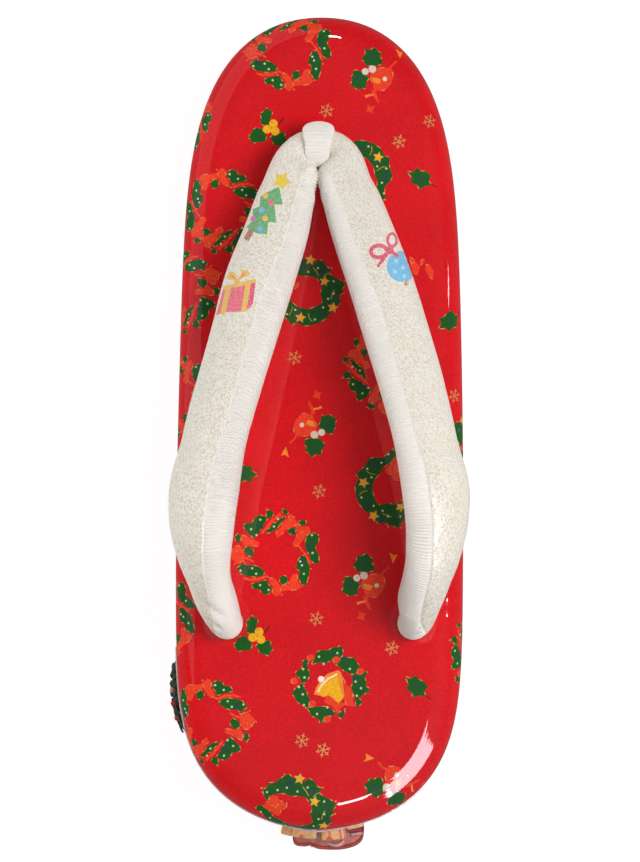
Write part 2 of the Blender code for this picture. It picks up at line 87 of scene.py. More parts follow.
# Strap holes: x, station, radius in the cover and in the platform
Hole = namedtuple("Hole", "x station radius")
HOLES = [Hole(0.0, 38.5, 4.7), Hole(26.7, 178.3, 4.6), Hole(-27.7, 178.3, 4.6)]
HOLE_DEPTH = 17.0
TAIL_DEPTH = 16.0
DIMPLE = 0.35
DIMPLE_RUN = 1.5

# The camera looks straight down on the ground from here
CAMERA = Vector((-43.7, -79.6, 1400.0))
AIM = Vector((0.0, -79.6, 29.0))
LENS = 194.0
SANDAL_MIDDLE = Vector((0.0, -0.08, 0.03))      # in metres, as the studio's sizes are
FLOOR_REACH = 3.0
FLOOR_HEIGHT = -0.0005
HEEL_CARD_HEIGHTS = (42, 50, 58, 66, 74)        # degrees up from the ground
HEEL_CARD_BEARING = 134
HEEL_CARD_WIDE = 0.66                           # on the ground; it narrows with the height
HEEL_CARD_TALL = 0.141
HEEL_CARD_POWER = 6.6                           # watts for each metre of width


def smooth_through(xs, ys):
    """A smooth function through points that never overshoots them; it takes a number or an array."""
    xs = np.array(xs, dtype=float)
    ys = np.array(ys, dtype=float)
    gaps = np.diff(xs)
    slopes = np.diff(ys) / gaps
    tangents = np.concatenate([slopes[:1], np.zeros(len(xs) - 2), slopes[-1:]])
    for i in range(1, len(xs) - 1):
        before, after = slopes[i - 1], slopes[i]
        if before * after > 0:
            lean_before = gaps[i - 1] + 2 * gaps[i]
            lean_after = 2 * gaps[i - 1] + gaps[i]
            tangents[i] = (lean_before + lean_after) / (lean_before / before + lean_after / after)

    def value(x):
        x = np.asarray(x, dtype=float)
        i = np.clip(np.searchsorted(xs, x) - 1, 0, len(gaps) - 1)
        t = (x - xs[i]) / gaps[i]
        rise = ys[i + 1] - ys[i]
        start, end = tangents[i] * gaps[i], tangents[i + 1] * gaps[i]
        return ys[i] + t * (start + t * (3 * rise - 2 * start - end + t * (start + end - 2 * rise)))

    return value


def smooth_step(x):
    """Rises softly from 0 to 1 while x does."""
    x = np.clip(x, 0.0, 1.0)
    return x * x * (3.0 - 2.0 * x)


def even_turns(count):
    """Turns that go once round in even steps, from 0."""
    return np.linspace(0.0, FULL_TURN, count, endpoint=False)


def unit(vectors):
    """Vectors along the last axis, made one long."""
    return vectors / np.maximum(np.linalg.norm(vectors, axis=-1, keepdims=True), 1e-9)


top_height = smooth_through(PROFILE_STATIONS, PROFILE_TOPS)
under_height = smooth_through(PROFILE_STATIONS, PROFILE_UNDERS)


# ---- the sole's outline ----

def end_round(distance, run, power):
    """Share of the half width that is left at a distance from a rounded end."""
    left = np.maximum(0.0, 1.0 - distance / run)
    return np.maximum(0.0, 1.0 - left ** ROUND_FLATNESS) ** (1.0 / power)


def half_width(station):
    """Half width of the sole's outline at a station."""
    waist = WAISTING * ((station - WIDEST_STATION) / WAISTING_RUN) ** 2
    toe = end_round(station - TOE_START, TOE_ROUND_RUN, TOE_ROUND_POWER)
    heel = end_round(HEEL_END - station, HEEL_ROUND_RUN, HEEL_ROUND_POWER)
    return (WIDEST_HALF - waist) * toe * heel


def station_at(turn):
    """Station for a turn of 0 at the toe tip to pi at the heel end."""
    return TOE_START + 0.5 * LENGTH * (1.0 - np.cos(turn))


def turn_at(station):
    """Turn of 0 to pi for a station on the +X side."""
    return math.acos(1.0 - 2.0 * (station - TOE_START) / LENGTH)


def rim(around, inset=0.0):
    """Places (x, station) on the outline moved inwards, with outward normals.

    around is 0 at the toe tip, pi at the heel end by the +X side, and goes on by the -X side.
    """
    around = np.mod(np.asarray(around, dtype=float), FULL_TURN)
    side = np.where(around > math.pi, -1.0, 1.0)
    turn = np.minimum(around, FULL_TURN - around)
    step = 1e-4
    low, high = np.maximum(turn - step, 0.0), np.minimum(turn + step, math.pi)
    along = station_at(high) - station_at(low)
    across = half_width(station_at(high)) - half_width(station_at(low))
    normals = unit(np.stack([along, -across], axis=-1))
    normals = np.where((turn < step)[..., None], (0.0, -1.0), normals)
    normals = np.where((turn > math.pi - step)[..., None], (0.0, 1.0), normals)
    normals[..., 0] *= side
    station = station_at(turn)
    places = np.stack([half_width(station) * side, station], axis=-1)
    return places - normals * np.asarray(inset)[..., None], normals


def in_frame(places, heights):
    """Points of the frame from (x, station) places and heights."""
    return np.stack([places[..., 0], places[..., 1] - HEEL_REST_STATION,
                     np.broadcast_to(heights, places.shape[:-1])], axis=-1)


RIM_PLACES = 2880
AROUND = even_turns(RIM_PLACES)
RIM, RIM_NORMALS = rim(AROUND)
SHOULDER_LINE = RIM - RIM_NORMALS * SHOULDER_ACROSS


def shoulder_profile():
    """Runs over the cover's edge with their inset and drop: rounded shoulder, upright side, tuck."""
    turns = np.linspace(0.0, 0.5 * math.pi, 41)
    inset = [SHOULDER_ACROSS * (1.0 - np.sin(turns)), COVER_TUCK * (1.0 - np.cos(turns)), [COVER_TUCK + 0.6]]
    drop = [SHOULDER_DROP * (1.0 - np.cos(turns)), SIDE_DROP + (COVER_THICK - SIDE_DROP) * np.sin(turns),
            [COVER_THICK]]
    inset, drop = np.concatenate(inset), np.concatenate(drop)
    runs = np.concatenate([[0.0], np.cumsum(np.hypot(np.diff(inset), np.diff(drop)))])
    return runs, inset, drop


EDGE_RUNS, EDGE_INSETS, EDGE_DROPS = shoulder_profile()
EDGE_END = EDGE_RUNS[-2]
INNER_SIDE = SHOULDER_LINE[:RIM_PLACES // 2 + 1]


def tree_of(places):
    """A search tree of places on a chart."""
    tree = kdtree.KDTree(len(places))
    for index, place in enumerate(places):
        tree.insert((place[0], place[1], 0.0), index)
    tree.balance()
    return tree


SHOULDER_TREE = tree_of(SHOULDER_LINE)


def over_the_edge(chart):
    """Place round the shoulder line nearest to each chart place, and how far outside the line it is."""
    nearest = np.array([SHOULDER_TREE.find((x, s, 0.0))[1] for x, s in chart])
    count = len(SHOULDER_LINE)
    along = SHOULDER_LINE[(nearest + 1) % count] - SHOULDER_LINE[nearest - 1]
    share = ((chart - SHOULDER_LINE[nearest]) * along).sum(axis=1) / (along ** 2).sum(axis=1)
    around = AROUND[nearest] + 2.0 * np.clip(share, -0.5, 0.5) * (AROUND[1] - AROUND[0])
    places, normals = rim(around, SHOULDER_ACROSS)
    return around, ((chart - places) * normals).sum(axis=1)


def cover_points(chart):
    """The printed cover over a chart: its plan inside the shoulder line, and unrolled outside it."""
    around, reach = over_the_edge(chart)
    outside = np.clip(reach, 0.0, None)
    edge_places, _ = rim(around, np.interp(outside, EDGE_RUNS, EDGE_INSETS))
    inside = reach < 0.0
    places = np.where(inside[:, None], chart, edge_places)
    half = np.interp(places[:, 1], INNER_SIDE[:, 1], INNER_SIDE[:, 0])
    share = np.clip(places[:, 0] / np.maximum(half, 1e-6), -1.0, 1.0)
    crown = CROWN * (half / WIDEST_HALF) ** 2 * (1.0 - share ** 2) ** 2
    drop = np.interp(outside, EDGE_RUNS, EDGE_DROPS)
    height = top_height(places[:, 1]) - drop + np.where(inside, crown, 0.0)
    for hole in HOLES:
        away = np.hypot(places[:, 0] - hole.x, places[:, 1] - hole.station) - hole.radius
        height = height - DIMPLE * np.exp(-(np.maximum(away, 0.0) / DIMPLE_RUN) ** 2)
    return in_frame(places, height)


def normals_on(surface, chart, step=0.12):
    """Normals of a surface over a chart, from its slopes."""
    right, up = np.array([step, 0.0]), np.array([0.0, step])
    return unit(np.cross(surface(chart + right) - surface(chart - right),
                         surface(chart + up) - surface(chart - up)))


# ---- charts: flat shapes that are cut into a surface ----

Shape = namedtuple("Shape", "ink points")


def area_of(points):
    """Area inside an outline, negative if it goes clockwise."""
    x, y = np.array(points, dtype=float).T
    return 0.5 * (np.dot(x, np.roll(y, -1)) - np.dot(y, np.roll(x, -1)))


def anticlockwise(points):
    """Points of an outline, turned round if they go clockwise."""
    return list(points) if area_of(points) > 0 else list(points)[::-1]


def dot(ink, x, y, radius, sides=8):
    """A round spot."""
    turns = [FULL_TURN * k / sides for k in range(sides)]
    return Shape(ink, [(x + radius * math.cos(t), y + radius * math.sin(t)) for t in turns])


def star(ink, x, y, radius, inner=0.45, tips=5, lean=90.0):
    """A star with its first tip at the lean angle."""
    points = []
    for k in range(2 * tips):
        turn = math.radians(lean) + math.pi * k / tips
        reach = radius * (inner if k % 2 else 1.0)
        points.append((x + reach * math.cos(turn), y + reach * math.sin(turn)))
    return Shape(ink, points)


def band(ink, path, widths):
    """A band of one or several widths along a path."""
    path = np.array(path, dtype=float)
    along = unit(np.gradient(path, axis=0))
    out = np.stack([-along[:, 1], along[:, 0]], axis=1) * (0.5 * np.broadcast_to(widths, len(path)))[:, None]
    return Shape(ink, [tuple(p) for p in path + out] + [tuple(p) for p in (path - out)[::-1]])


GOLD_STROKE = 0.24


def flecked(ink, points, every=2):
    """A patch with short gold strokes on some of its edges."""
    shapes = [Shape(ink, points)]
    for first in range(0, len(points), every):
        start, end = np.array(points[first]), np.array(points[(first + 1) % len(points)])
        shapes.append(band("gold", [start + 0.15 * (end - start), start + 0.7 * (end - start)], GOLD_STROKE))
    return shapes


def flecked_all(ink, outlines, every=2):
    """Several patches with gold strokes."""
    return [shape for outline in outlines for shape in flecked(ink, outline, every)]


def patches(ink, outlines):
    """Several plain patches."""
    return [Shape(ink, outline) for outline in outlines]


def ribbon(ink, path, widths):
    """A ribbon with a row of gold specks along it."""
    shapes = [band(ink, path, widths)]
    for start, end in zip(path, path[1:]):
        shapes.append(dot("gold", 0.5 * (start[0] + end[0]), 0.5 * (start[1] + end[1]), 0.17, 5))
    return shapes


def specks(ink, radius, places, sides=6):
    """Small spots of one size."""
    return [dot(ink, x, y, radius, sides) for x, y in places]


def flake(x, y, radius):
    """A small gold snowflake: three crossed hairlines with ticks near their ends."""
    shapes = []
    middle = np.array([x, y])
    for k in range(3):
        turn = math.radians(15.0 + 60.0 * k)
        reach = np.array([math.cos(turn), math.sin(turn)]) * radius
        shapes.append(band("gold", [middle - reach, middle, middle + reach], 0.24))
        tick = 0.26 * np.array([-reach[1], reach[0]])
        for end in (0.66, -0.66):
            shapes.append(band("gold", [middle + end * reach - tick, middle + end * reach + tick], 0.22))
    return shapes


def gold_star(x, y, radius):
    """A small golden star with a darker edge."""
    return [star("gold", x, y, radius + 0.35, inner=0.5, lean=80.0),
            star("yellow", x, y, radius, inner=0.5, lean=80.0)]


def ribbon_wreath():
    """A holly wreath wound with coral ribbon and bows."""
    shapes = flecked_all("leaf", [
        [(-9.6, 8.1), (-8.4, 8.7), (-7, 8.7), (-6.2, 10.3), (-4.7, 11.1), (-3.3, 10.7), (-2.3, 10.1),
         (-2.9, 9.1), (-4.1, 7.5), (-4.7, 6), (-6.2, 4.2), (-7.8, 5.4), (-9, 6.7)],
        [(-2.9, 12.3), (-1.7, 12.7), (-0.4, 11.5), (-1.3, 10.3), (-2.7, 10.1)],
        [(2.6, 10.9), (1.1, 9.9), (0.3, 8.9), (-0.9, 8.7), (-1.5, 7.5), (-2.7, 6.7), (-2.8, 5.6),
         (-1.1, 6.1), (0.5, 7.1), (1.5, 8.7), (3, 10.1)],
        [(1.7, 12.6), (2.8, 12.9), (3.9, 11.8), (3.2, 11.2), (2.1, 11.6)],
        [(3.4, 6.7), (4.6, 7.5), (5.9, 7.1), (6, 5.4), (4.8, 5.2), (3.8, 5.8)],
        [(6.4, 8.9), (7.6, 9.7), (9.1, 9.3), (8.8, 8.2), (7.6, 7.9)],
        [(10.7, 6), (12.1, 5.6), (12.8, 4.6), (12.5, 2.8), (11.7, 2), (12, 0.8), (12.7, -0.6), (12.9, -2.9),
         (11.5, -3.1), (10.3, -2.1), (9.9, -0.4), (9, 0.6), (8.6, 2.8), (9.2, 5)],
        [(7.6, -0.6), (8.8, -0.8), (9.4, -2.1), (10.1, -3.7), (9.9, -6.5), (9, -9.6), (7.6, -9),
         (6.8, -7.3), (7.2, -5.3), (6, -4.5), (6.4, -2.5)],
        [(2.4, -6.5), (3.6, -6.9), (3.6, -8.6), (2.4, -9.3), (1.3, -8.6), (1.3, -7.3)],
        [(-7.2, -9.2), (-5.8, -8.6), (-3.5, -8.1), (-2.3, -7.7), (-2.1, -9), (-1.1, -10), (-1.3, -11.6),
         (-2.7, -12.3), (-4.1, -11.6), (-4.5, -10.6), (-6.2, -10.6)],
        [(-11.4, -4.5), (-10, -3.5), (-9.2, -2.9), (-8.4, -3.7), (-6.6, -3.5), (-4.7, -4.1), (-2.9, -5.5),
         (-3.7, -6.7), (-5.4, -7.1), (-7.6, -6.9), (-9.4, -6.5), (-10.8, -5.5)],
        [(-9.2, 1.4), (-8, 2), (-6.6, 1.2), (-6.2, -0.2), (-7, -1.3), (-8.4, -0.6), (-9.3, 0.4)],
        [(-12, 4.7), (-10.8, 5.8), (-10.2, 4.6), (-10.4, 3), (-11.7, 3.2)]])
    shapes += patches("teal", [
        [(-6, 8), (-4, 8.6), (-3.4, 7.4), (-5.2, 6.4)], [(9, 2.4), (10.6, 3), (10.4, 0.6), (9.4, 0.8)],
        [(7.4, -1.2), (8.8, -2), (8.6, -4.2), (7.2, -4)],
        [(-9, -3.4), (-7.4, -4), (-7.8, -5.6), (-9.2, -5)], [(4, 6.6), (5.4, 6.8), (5.2, 5.7), (4.2, 5.8)]])
    for path, widths in [
            ([(1.5, 11.5), (-1.1, 9.3), (-2.9, 7.1), (-4.3, 5.4)], [1.0, 0.95, 0.85, 0.5]),
            ([(-9.2, -1.3), (-7.6, -1.9), (-6.2, -2.7)], 0.6),
            ([(-9.4, -7.3), (-7.2, -7.9), (-4.7, -7.6), (-2.2, -6.7)], [0.4, 0.95, 0.95, 0.6]),
            ([(6.6, 2.4), (8, 0.6), (9.4, -1.3), (10.3, -3.4)], [0.5, 0.6, 0.75, 0.8])]:
        shapes += ribbon("coral", path, widths)
    shapes += flecked_all("coral", [
        [(3.4, 10.1), (4.6, 11.4), (5.7, 9.9), (6.4, 8.5), (5, 7.5), (3.4, 6.9), (2.2, 6.2), (1.9, 5.2),
         (0.5, 4.5), (0, 5.6), (0.6, 6.7), (1.7, 7.5), (1.3, 8.4), (2.4, 9.1)],
        [(6.2, 8.7), (7.4, 7.7), (9.9, 7.7), (10.3, 6.1), (8.6, 4.4), (7.6, 3.1), (7, 2.2), (5.4, 1.8),
         (4.9, 2.8), (6, 4.4), (6.6, 6), (5.8, 7.3)],
        [(-10, 5.4), (-7.8, 4.4), (-4.7, 3.1), (-4.8, 1.8), (-7.6, 2.2), (-9.2, 1.7), (-9.9, 3.2)],
        [(-12, 2), (-9.9, 2.1), (-9.2, 0), (-9.1, -2.1), (-11.3, -3.3), (-12.4, -2.1), (-13.7, -0.6)],
        [(-1.9, -7.3), (-0.3, -7.3), (0.9, -8.6), (1.5, -9.8), (1.8, -11.7), (0.3, -12.7), (-0.9, -11.8),
         (-0.6, -9.8), (-1.7, -8.6)],
        [(1.7, -9.4), (3.8, -9.2), (5.1, -6.1), (6.4, -6.1), (6.6, -8.2), (7.7, -9.8), (6.6, -10.7),
         (3.8, -10.9), (1.9, -11.2)]], every=3)
    shapes += specks("pale", 0.36,
        [(-4.5, 9.7), (-7.2, 6.9), (-5.6, 5.2), (-0.5, 7.7), (0.7, 9.9), (10.7, 5.2), (10.9, 0),
         (7.3, -2.5), (7.8, -3.6), (8.4, -6.1), (-10.2, -5.2), (-6.8, -4.5), (-5.6, -6.1), (-4.4, -9.4),
         (-1.9, -10.8)])
    shapes += specks("gold", 0.22,
        [(-2.7, 12.9), (5.4, 10.5), (8.9, 9.3), (12.5, 5.2), (12.8, -1.9), (10.5, -4.6), (-11.2, 5.7),
         (-13.9, -0.2), (-12, -3.3), (-9.2, -2.5), (-2.1, -7), (1.9, -12.2), (3.8, -8.6), (8, -9.4),
         (4.2, 9.6), (7.8, 6), (-11.4, 0.4)], 5)
    return shapes


def star_wreath():
    """A thick holly wreath with small golden stars and one coral bow."""
    shapes = flecked("leaf",
        [(-9.5, 6.8), (-8.2, 7.5), (-7.9, 8.8), (-6, 8.8), (-4.3, 10.1), (-3.2, 10.8), (-1.9, 11.4),
         (-0.8, 10.3), (0.3, 10.1), (2.5, 9), (4, 10.1), (5.4, 9.4), (6.2, 7.9), (7.8, 7), (6.9, 5.7),
         (8.4, 4.9), (9.9, 4), (11.3, 3.3), (11.9, 2), (11, 0.9), (11.3, -0.2), (10, -1.4), (10.8, -3.2),
         (9.5, -4.3), (6.2, -4.9), (4.9, -2.8), (4.3, -0.2), (4.9, 1.2), (4, 3.1), (3, 4.5), (0.7, 4.9),
         (-1.2, 4.8), (-2.7, 5.5), (-4.9, 5.7), (-7.5, 4.9), (-8.2, 3.3), (-9.2, 4.9)])
    shapes += flecked("leaf",
        [(-11.5, 1.6), (-11.9, 0.2), (-10.8, -0.2), (-9.2, -2.4), (-9.5, -4.6), (-9, -6.4), (-6.8, -7.6),
         (-5.6, -8.7), (-4.5, -10.3), (-3.1, -9.4), (-0.9, -10.5), (1.7, -10.3), (4.3, -9.4), (6.5, -7.9),
         (7.6, -6.1), (9.7, -4.2), (4.9, -2.9), (4.7, -3.5), (2.8, -4.6), (0.3, -5.3), (-2.7, -4.6),
         (-4.9, -2.7), (-6.4, -2.1), (-7.5, -0.2), (-8.9, 1.1), (-10.1, 2.2)])
    shapes += patches("teal", [
        [(-3, 9.2), (-1, 10), (-0.2, 8.4), (-1.6, 6.9), (-3.2, 7.6)],
        [(4, 7.6), (6.2, 7.2), (5.6, 5.4), (3.4, 5.6)], [(8.2, -1.6), (10, -1.4), (9.6, -3.6), (8, -3.4)],
        [(-8.4, -3.4), (-6.6, -3), (-6.4, -5.4), (-8.2, -5.8)],
        [(-3.2, -6.4), (-1.2, -6), (-0.6, -8.2), (-2.6, -8.6)],
        [(8.6, 3), (10.2, 2.6), (9.8, 1), (8.4, 1.2)], [(3.2, -6), (5, -5.4), (5.4, -7), (3.8, -7.6)]])
    for path in [
            [(2.1, 7.6), (3.2, 6.2), (3.9, 4.9)], [(5.2, 4.6), (6.2, 5.6), (7.2, 5.9)],
            [(8.6, 0.6), (8.0, -0.6), (7.6, -2.2)], [(-4.2, -4.4), (-4.6, -6), (-5.4, -7.2)],
            [(0.6, -6.6), (1, -8.2), (2, -9.2)], [(-3.6, 0.9), (-2.6, 1.6), (-2.5, 3)]]:
        shapes.append(band("gold", path, 0.2))
    for x, y, radius in [(1.2, 9.9, 1.45), (5.6, 3.3, 1.35), (8.2, -4.8, 1.5), (-1.8, -7.9, 1.5)]:
        shapes += gold_star(x, y, radius)
    shapes += flecked("coral",
        [(-7.5, 3.3), (-7.7, 4.5), (-6.6, 5.1), (-5.3, 4.8), (-4.5, 3.6), (-3.4, 3.1), (-2.5, 2.3),
         (-3, 1.2), (-4.3, 0.9), (-4.3, -0.6), (-5.3, -1.5), (-6.4, -0.8), (-7.1, 0.1), (-8.4, 0.5),
         (-9.3, 1.2), (-9.3, 2.3), (-8.6, 3.1)], every=4)
    shapes += specks("gold", 0.26,
        [(-6.7, 2), (-5.1, 2.3), (-5.8, 1.7), (-9.6, 6), (-9.9, 7.2), (7.9, 7.4), (11.8, 3.4), (11.6, -0.4),
         (-3.2, 11.2), (-12, 0.9)], 5)
    shapes += specks("pale", 0.36,
        [(-8.3, 6), (-5.2, 6.6), (-2.5, 7.3), (0.6, 6.2), (3.6, 7.4), (8.4, 3.3), (8.4, -0.5), (6.7, -2.1),
         (-10.4, -0.4), (-7.8, -2.5), (-6, -6.8), (2.7, -8.5), (-3.4, -5.5), (5.2, -4.8)])
    return shapes


def bell_wreath():
    """A thick holly wreath with coral berries round a golden bell."""
    shapes = flecked_all("leaf", [
        [(-5.8, 5.5), (-4.9, 7.1), (-4.3, 9.2), (-2.7, 9.9), (-0.8, 9.8), (0.5, 10.7), (1.9, 10.7),
         (2.9, 11.4), (3.4, 10.3), (3.6, 8.9), (2.5, 7.7), (0.7, 7.7), (-0.1, 6.6), (-1, 6.5), (-1.9, 5.3),
         (-2.7, 6.3), (-4.1, 6.1)],
        [(2.9, 7.7), (3.8, 8.5), (4.7, 7.7), (6.8, 7.7), (7.7, 6.3), (8.4, 5.2), (8.7, 3.7), (7.3, 3.3),
         (6.6, 2.8), (5.5, 3), (4, 3.7), (3.1, 4.4), (2.2, 5.2), (1, 5.9), (2.2, 6.3)],
        [(6, 2.6), (6.9, 3), (8.4, 2.6), (9.3, 3.3), (10.4, 3.9), (10.6, 3), (9.9, 1.8), (10.4, 0.6),
         (10.3, -0.7), (11.7, -1.5), (10.6, -2.4), (9.3, -3.3), (8.1, -4.1), (9.2, -4.8), (9, -5.7),
         (8.1, -6.3), (7.1, -6.5), (7.3, -4.8), (6.8, -3.7), (6.6, -2.6), (5.8, -1.1), (6.4, 0.4)],
        [(-8.4, 6.5), (-7.6, 7.2), (-6.5, 6.8), (-6.9, 5.3), (-6.7, 4.4), (-6.2, 3.5), (-6.2, 2.2),
         (-6.9, 1.1), (-7.3, 0.4), (-8.4, 0.2), (-9.1, 1.5), (-9.5, 2.2), (-10.6, 3.1), (-9.7, 4),
         (-8.6, 4.4), (-8.2, 5.3)],
        [(-10.2, -1.1), (-11, -2), (-11.3, -3), (-10.4, -4.1), (-9.9, -5.2), (-8.9, -5.9), (-7.6, -6.5),
         (-6.9, -7.4), (-6.5, -5.9), (-5.8, -4.8), (-6.7, -3.3), (-7.1, -1.9), (-7.8, -1.1), (-8, 0.2),
         (-9.1, -0.2)],
        [(-7.1, -6.8), (-4.5, -6.6), (-2.7, -6.5), (-0.8, -6.5), (0.5, -7.4), (1.4, -8.5), (0.5, -9.4),
         (-1.5, -9.2), (-2.3, -10.3), (-2.3, -11.5), (-3.2, -11.5), (-3.4, -10.3), (-4.5, -9.8),
         (-5.8, -9.2), (-6, -8.3)],
        [(1.8, -8.5), (3.4, -7.8), (4.2, -6.8), (4, -8.9), (3.1, -10.3), (2.2, -9.4)]])
    shapes += patches("teal", [
        [(-8, 6.4), (-6.8, 6.4), (-7.2, 5.2)], [(3.4, 8), (5.1, 7.6), (4.6, 6.4), (3.3, 6.6)],
        [(6.4, 2.6), (8.3, 2.4), (7.9, 1.3), (6.4, 1.2)],
        [(-0.3, -7.4), (1, -8), (0.2, -8.9), (-0.8, -8.6)], [(-9.8, -1), (-8.4, -0.6), (-8.8, -1.8)],
        [(2.3, -8.7), (3.8, -8.1), (3.2, -9.8)], [(0.2, 9.6), (1.6, 9.4), (1.2, 8.4), (0, 8.6)]])
    for x, y in [(-5.8, 7.7), (1.6, 7), (8.6, 3.7), (-10.6, 0.9), (-5.4, -5.7), (-1, -10.2)]:
        shapes.append(dot("coral", x, y, 1.05, 10))
        shapes.append(band("gold", [(x - 0.9, y + 0.5), (x - 1.0, y - 0.3), (x - 0.5, y - 0.9)], 0.2))
    shapes += specks("pale", 0.38,
        [(-3.5, 7.9), (1.9, 9), (5.5, 4.4), (-8.1, 4.3), (-7.7, 1.9), (-9.3, -0.9), (-8.2, -3), (-4, -8.7),
         (7.2, 0.7), (8.8, -1.2), (7.6, -3.4), (-2.1, 5.9), (-1, -6.8), (-7.9, -6.1)])
    shapes.append(Shape("coral",
        [(-1.9, -5.2), (-1.7, -3.8), (-0.5, -2.8), (0.7, -3.9), (1.9, -5.5), (3.2, -5.2), (4.4, -6),
         (2.9, -6.8), (2.5, -8.5), (1.6, -8.5), (1.2, -7.2), (0.3, -6.3), (-1, -5.9)]))
    shapes += flecked("coral",
        [(3.2, 2.4), (4.7, -0.4), (5.8, -0.9), (6.4, -2.6), (6.4, -4.4), (6.9, -6.5), (4.7, -6.3),
         (3.9, -4.6), (3, -3), (2.9, -0.2)], every=3)
    shapes.append(Shape("orange",
        [(-4.9, -3), (-4.5, -1.5), (-3, 1.1), (-0.8, 3.1), (2.2, 4), (2.9, 3.5), (3.4, 1.8), (3.6, -0.8),
         (4.0, -3.6), (2.3, -5.7), (0.6, -4.2), (-0.8, -3.3), (-2.2, -3.8), (-3.2, -3.4)]))
    shapes.append(Shape("yellow",
        [(-3.6, -2.4), (-2.7, -0.7), (-0.4, 1.1), (1.9, 2.6), (2.5, -0.7), (3.6, -4.1), (2.2, -5.5),
         (0.9, -4.1), (-0.6, -3), (-1.9, -3.7), (-3, -3.3)]))
    shapes.append(band("cream", [(-3.8, -2.4), (-2.8, -0.4), (-0.8, 1.5), (1.9, 2.9)], 0.6))
    shapes.append(dot("ivory", -2.8, 1.4, 0.95, 10))
    return shapes


def bell_sprig():
    """A coral bell on a ribbon with two holly leaves and two pale berries."""
    shapes = flecked("leaf",
        [(1, 5.5), (1.9, 5.1), (3.4, 5.7), (4.3, 4.9), (5.6, 4.2), (5, 2.7), (5.4, 1.8), (4.7, 1.1),
         (4.7, -0.2), (3, 0), (1.7, 0.3), (1.2, 1.2), (-0.1, 2.2), (0.8, 3.5)])
    shapes += flecked("leaf",
        [(-3.8, -1.9), (-2.3, -1.3), (-0.7, -1.5), (0.8, -1.3), (1.4, -2.5), (2.3, -3.4), (1.2, -4.7),
         (1.2, -6.3), (-0.3, -6.1), (-1.8, -7.1), (-2.7, -5.8), (-3.8, -5.2), (-3.2, -4.1), (-4, -3.2)])
    shapes += patches("teal", [
        [(2.2, 2.6), (3.8, 3.4), (4, 1.6), (2.8, 1)], [(-1.8, -3), (0.4, -3.4), (-0.2, -5.2), (-1.6, -4.8)]])
    shapes += [band("coral", [(-1.4, 5.6), (-1.7, 7.2), (-2.9, 9.6)], [1.4, 1.1, 0.4]),
               band("orange", [(-1.4, 7.1), (0.2, 7.4), (1.1, 7.8)], [0.5, 0.6, 0.8]),
               band("coral", [(-6, -0.4), (-7, -1.8), (-8.3, -2.9)], [0.8, 0.5, 0.7])]
    shapes.append(star("coral", -0.3, 11.4, 1.6, inner=0.5, tips=4, lean=30.0))
    shapes += flecked("coral",
        [(-7.1, 0.1), (-7.1, 2.4), (-6.4, 4.2), (-4.9, 5.7), (-3.2, 6.1), (-1.4, 5.3), (-1, 3.8),
         (-0.1, 1.6), (-1.4, 0.1), (-2.5, -0.6), (-5.1, -1), (-6.4, -0.6)], every=3)
    shapes.append(Shape("orange", [(-3.6, 2.7), (-2.9, 4), (-1.4, 3.5), (-0.7, 2), (-2.5, 2.2)]))
    shapes.append(dot("snow", -4.7, 2.5, 0.75, 5))
    shapes += [ring_band("orange", -7.3, -4.3, 0.85, 0.85, 0.5, 10),
               Shape("orange", [(-10.8, -6.5), (-9.4, -3.9), (-8.4, -7.2), (-9.5, -6.3)]),
               dot("snow", -1.0, -0.4, 1.15, 10), dot("snow", 1.1, 0.3, 1.05, 10)]
    return shapes


def berry_sprig():
    """Three holly leaves with golden berries."""
    shapes = flecked_all("leaf", [
        [(-3.3, 4.3), (-2, 5.1), (-1.7, 6.2), (-0.9, 5.3), (0.4, 4.9), (0, 3.6), (-0.4, 2.1), (-0.7, 0.9),
         (-2, 0.6), (-3.3, 1.2), (-3, 2.5)],
        [(-7, -2.7), (-6.1, -1.6), (-5.5, -0.4), (-4.3, 0.1), (-2.8, -0.4), (-2, -1.6), (-1.3, -2.3),
         (-1.9, -4.1), (-4.3, -4.3), (-5.7, -4.5), (-6.3, -3.4)],
        [(-0.6, -3), (0.4, -2.1), (1.7, -1.9), (2.8, -1.2), (4, -1.4), (4, -2.7), (4.8, -3.8), (3.9, -4.5),
         (3.5, -5.8), (2.2, -5.4), (0.6, -5), (0.4, -3.8)]])
    shapes.append(band("red_dark", [(2.2, 0.9), (2.9, 1.9), (3.6, 3)], [0.4, 0.6, 0.5]))
    for x, y in [(0.6, 1.2), (-1.3, -0.4), (1.1, -1)]:
        shapes.append(dot("yellow", x, y, 1.3, 10))
    shapes += [band("gold", [(-0.4, 0.6), (0.1, 0.1), (0.4, -0.2)], 0.25), dot("orange", 0.2, 1.7, 0.4, 6)]
    return shapes


def holly_leaf():
    """One holly leaf with its stalk."""
    shapes = flecked("leaf",
        [(-3.9, 2.1), (-2, 1.9), (-0.9, 3.4), (0, 2.3), (1.9, 2.1), (3.3, 0.8), (2.6, -0.7), (3.5, -1.9),
         (1.7, -2.2), (-0.2, -3.2), (-0.9, -1.8), (-2.8, -1.4), (-2.4, 0.1)], 3)
    shapes.append(Shape("teal", [(-0.8, 1), (1, 0.8), (0.8, -0.8), (-0.6, -0.4)]))
    shapes.append(band("red_dark", [(3.4, -1.8), (4.4, -2.2), (5.4, -2.4)], [0.5, 0.35, 0.2]))
    return shapes


def ribbon_bits():
    """Loose loops of a coral ribbon."""
    shapes = flecked_all("coral", [
        [(-3.6, 3.6), (-2, 3), (-1.4, 1.6), (-2.6, 0.9)],
        [(-3.2, 1.4), (-1.6, 2.2), (-0.3, 0.8), (-0.9, -1.6), (-2.4, -1.2)],
        [(-0.3, 2.2), (0.9, 3.2), (1.2, 2.2), (0.2, 0.9)],
        [(1.2, 1.4), (2.7, 1.2), (3.8, -0.6), (3.5, -3.2), (2.1, -1.9), (1.4, -0.6)]], every=3)
    return shapes


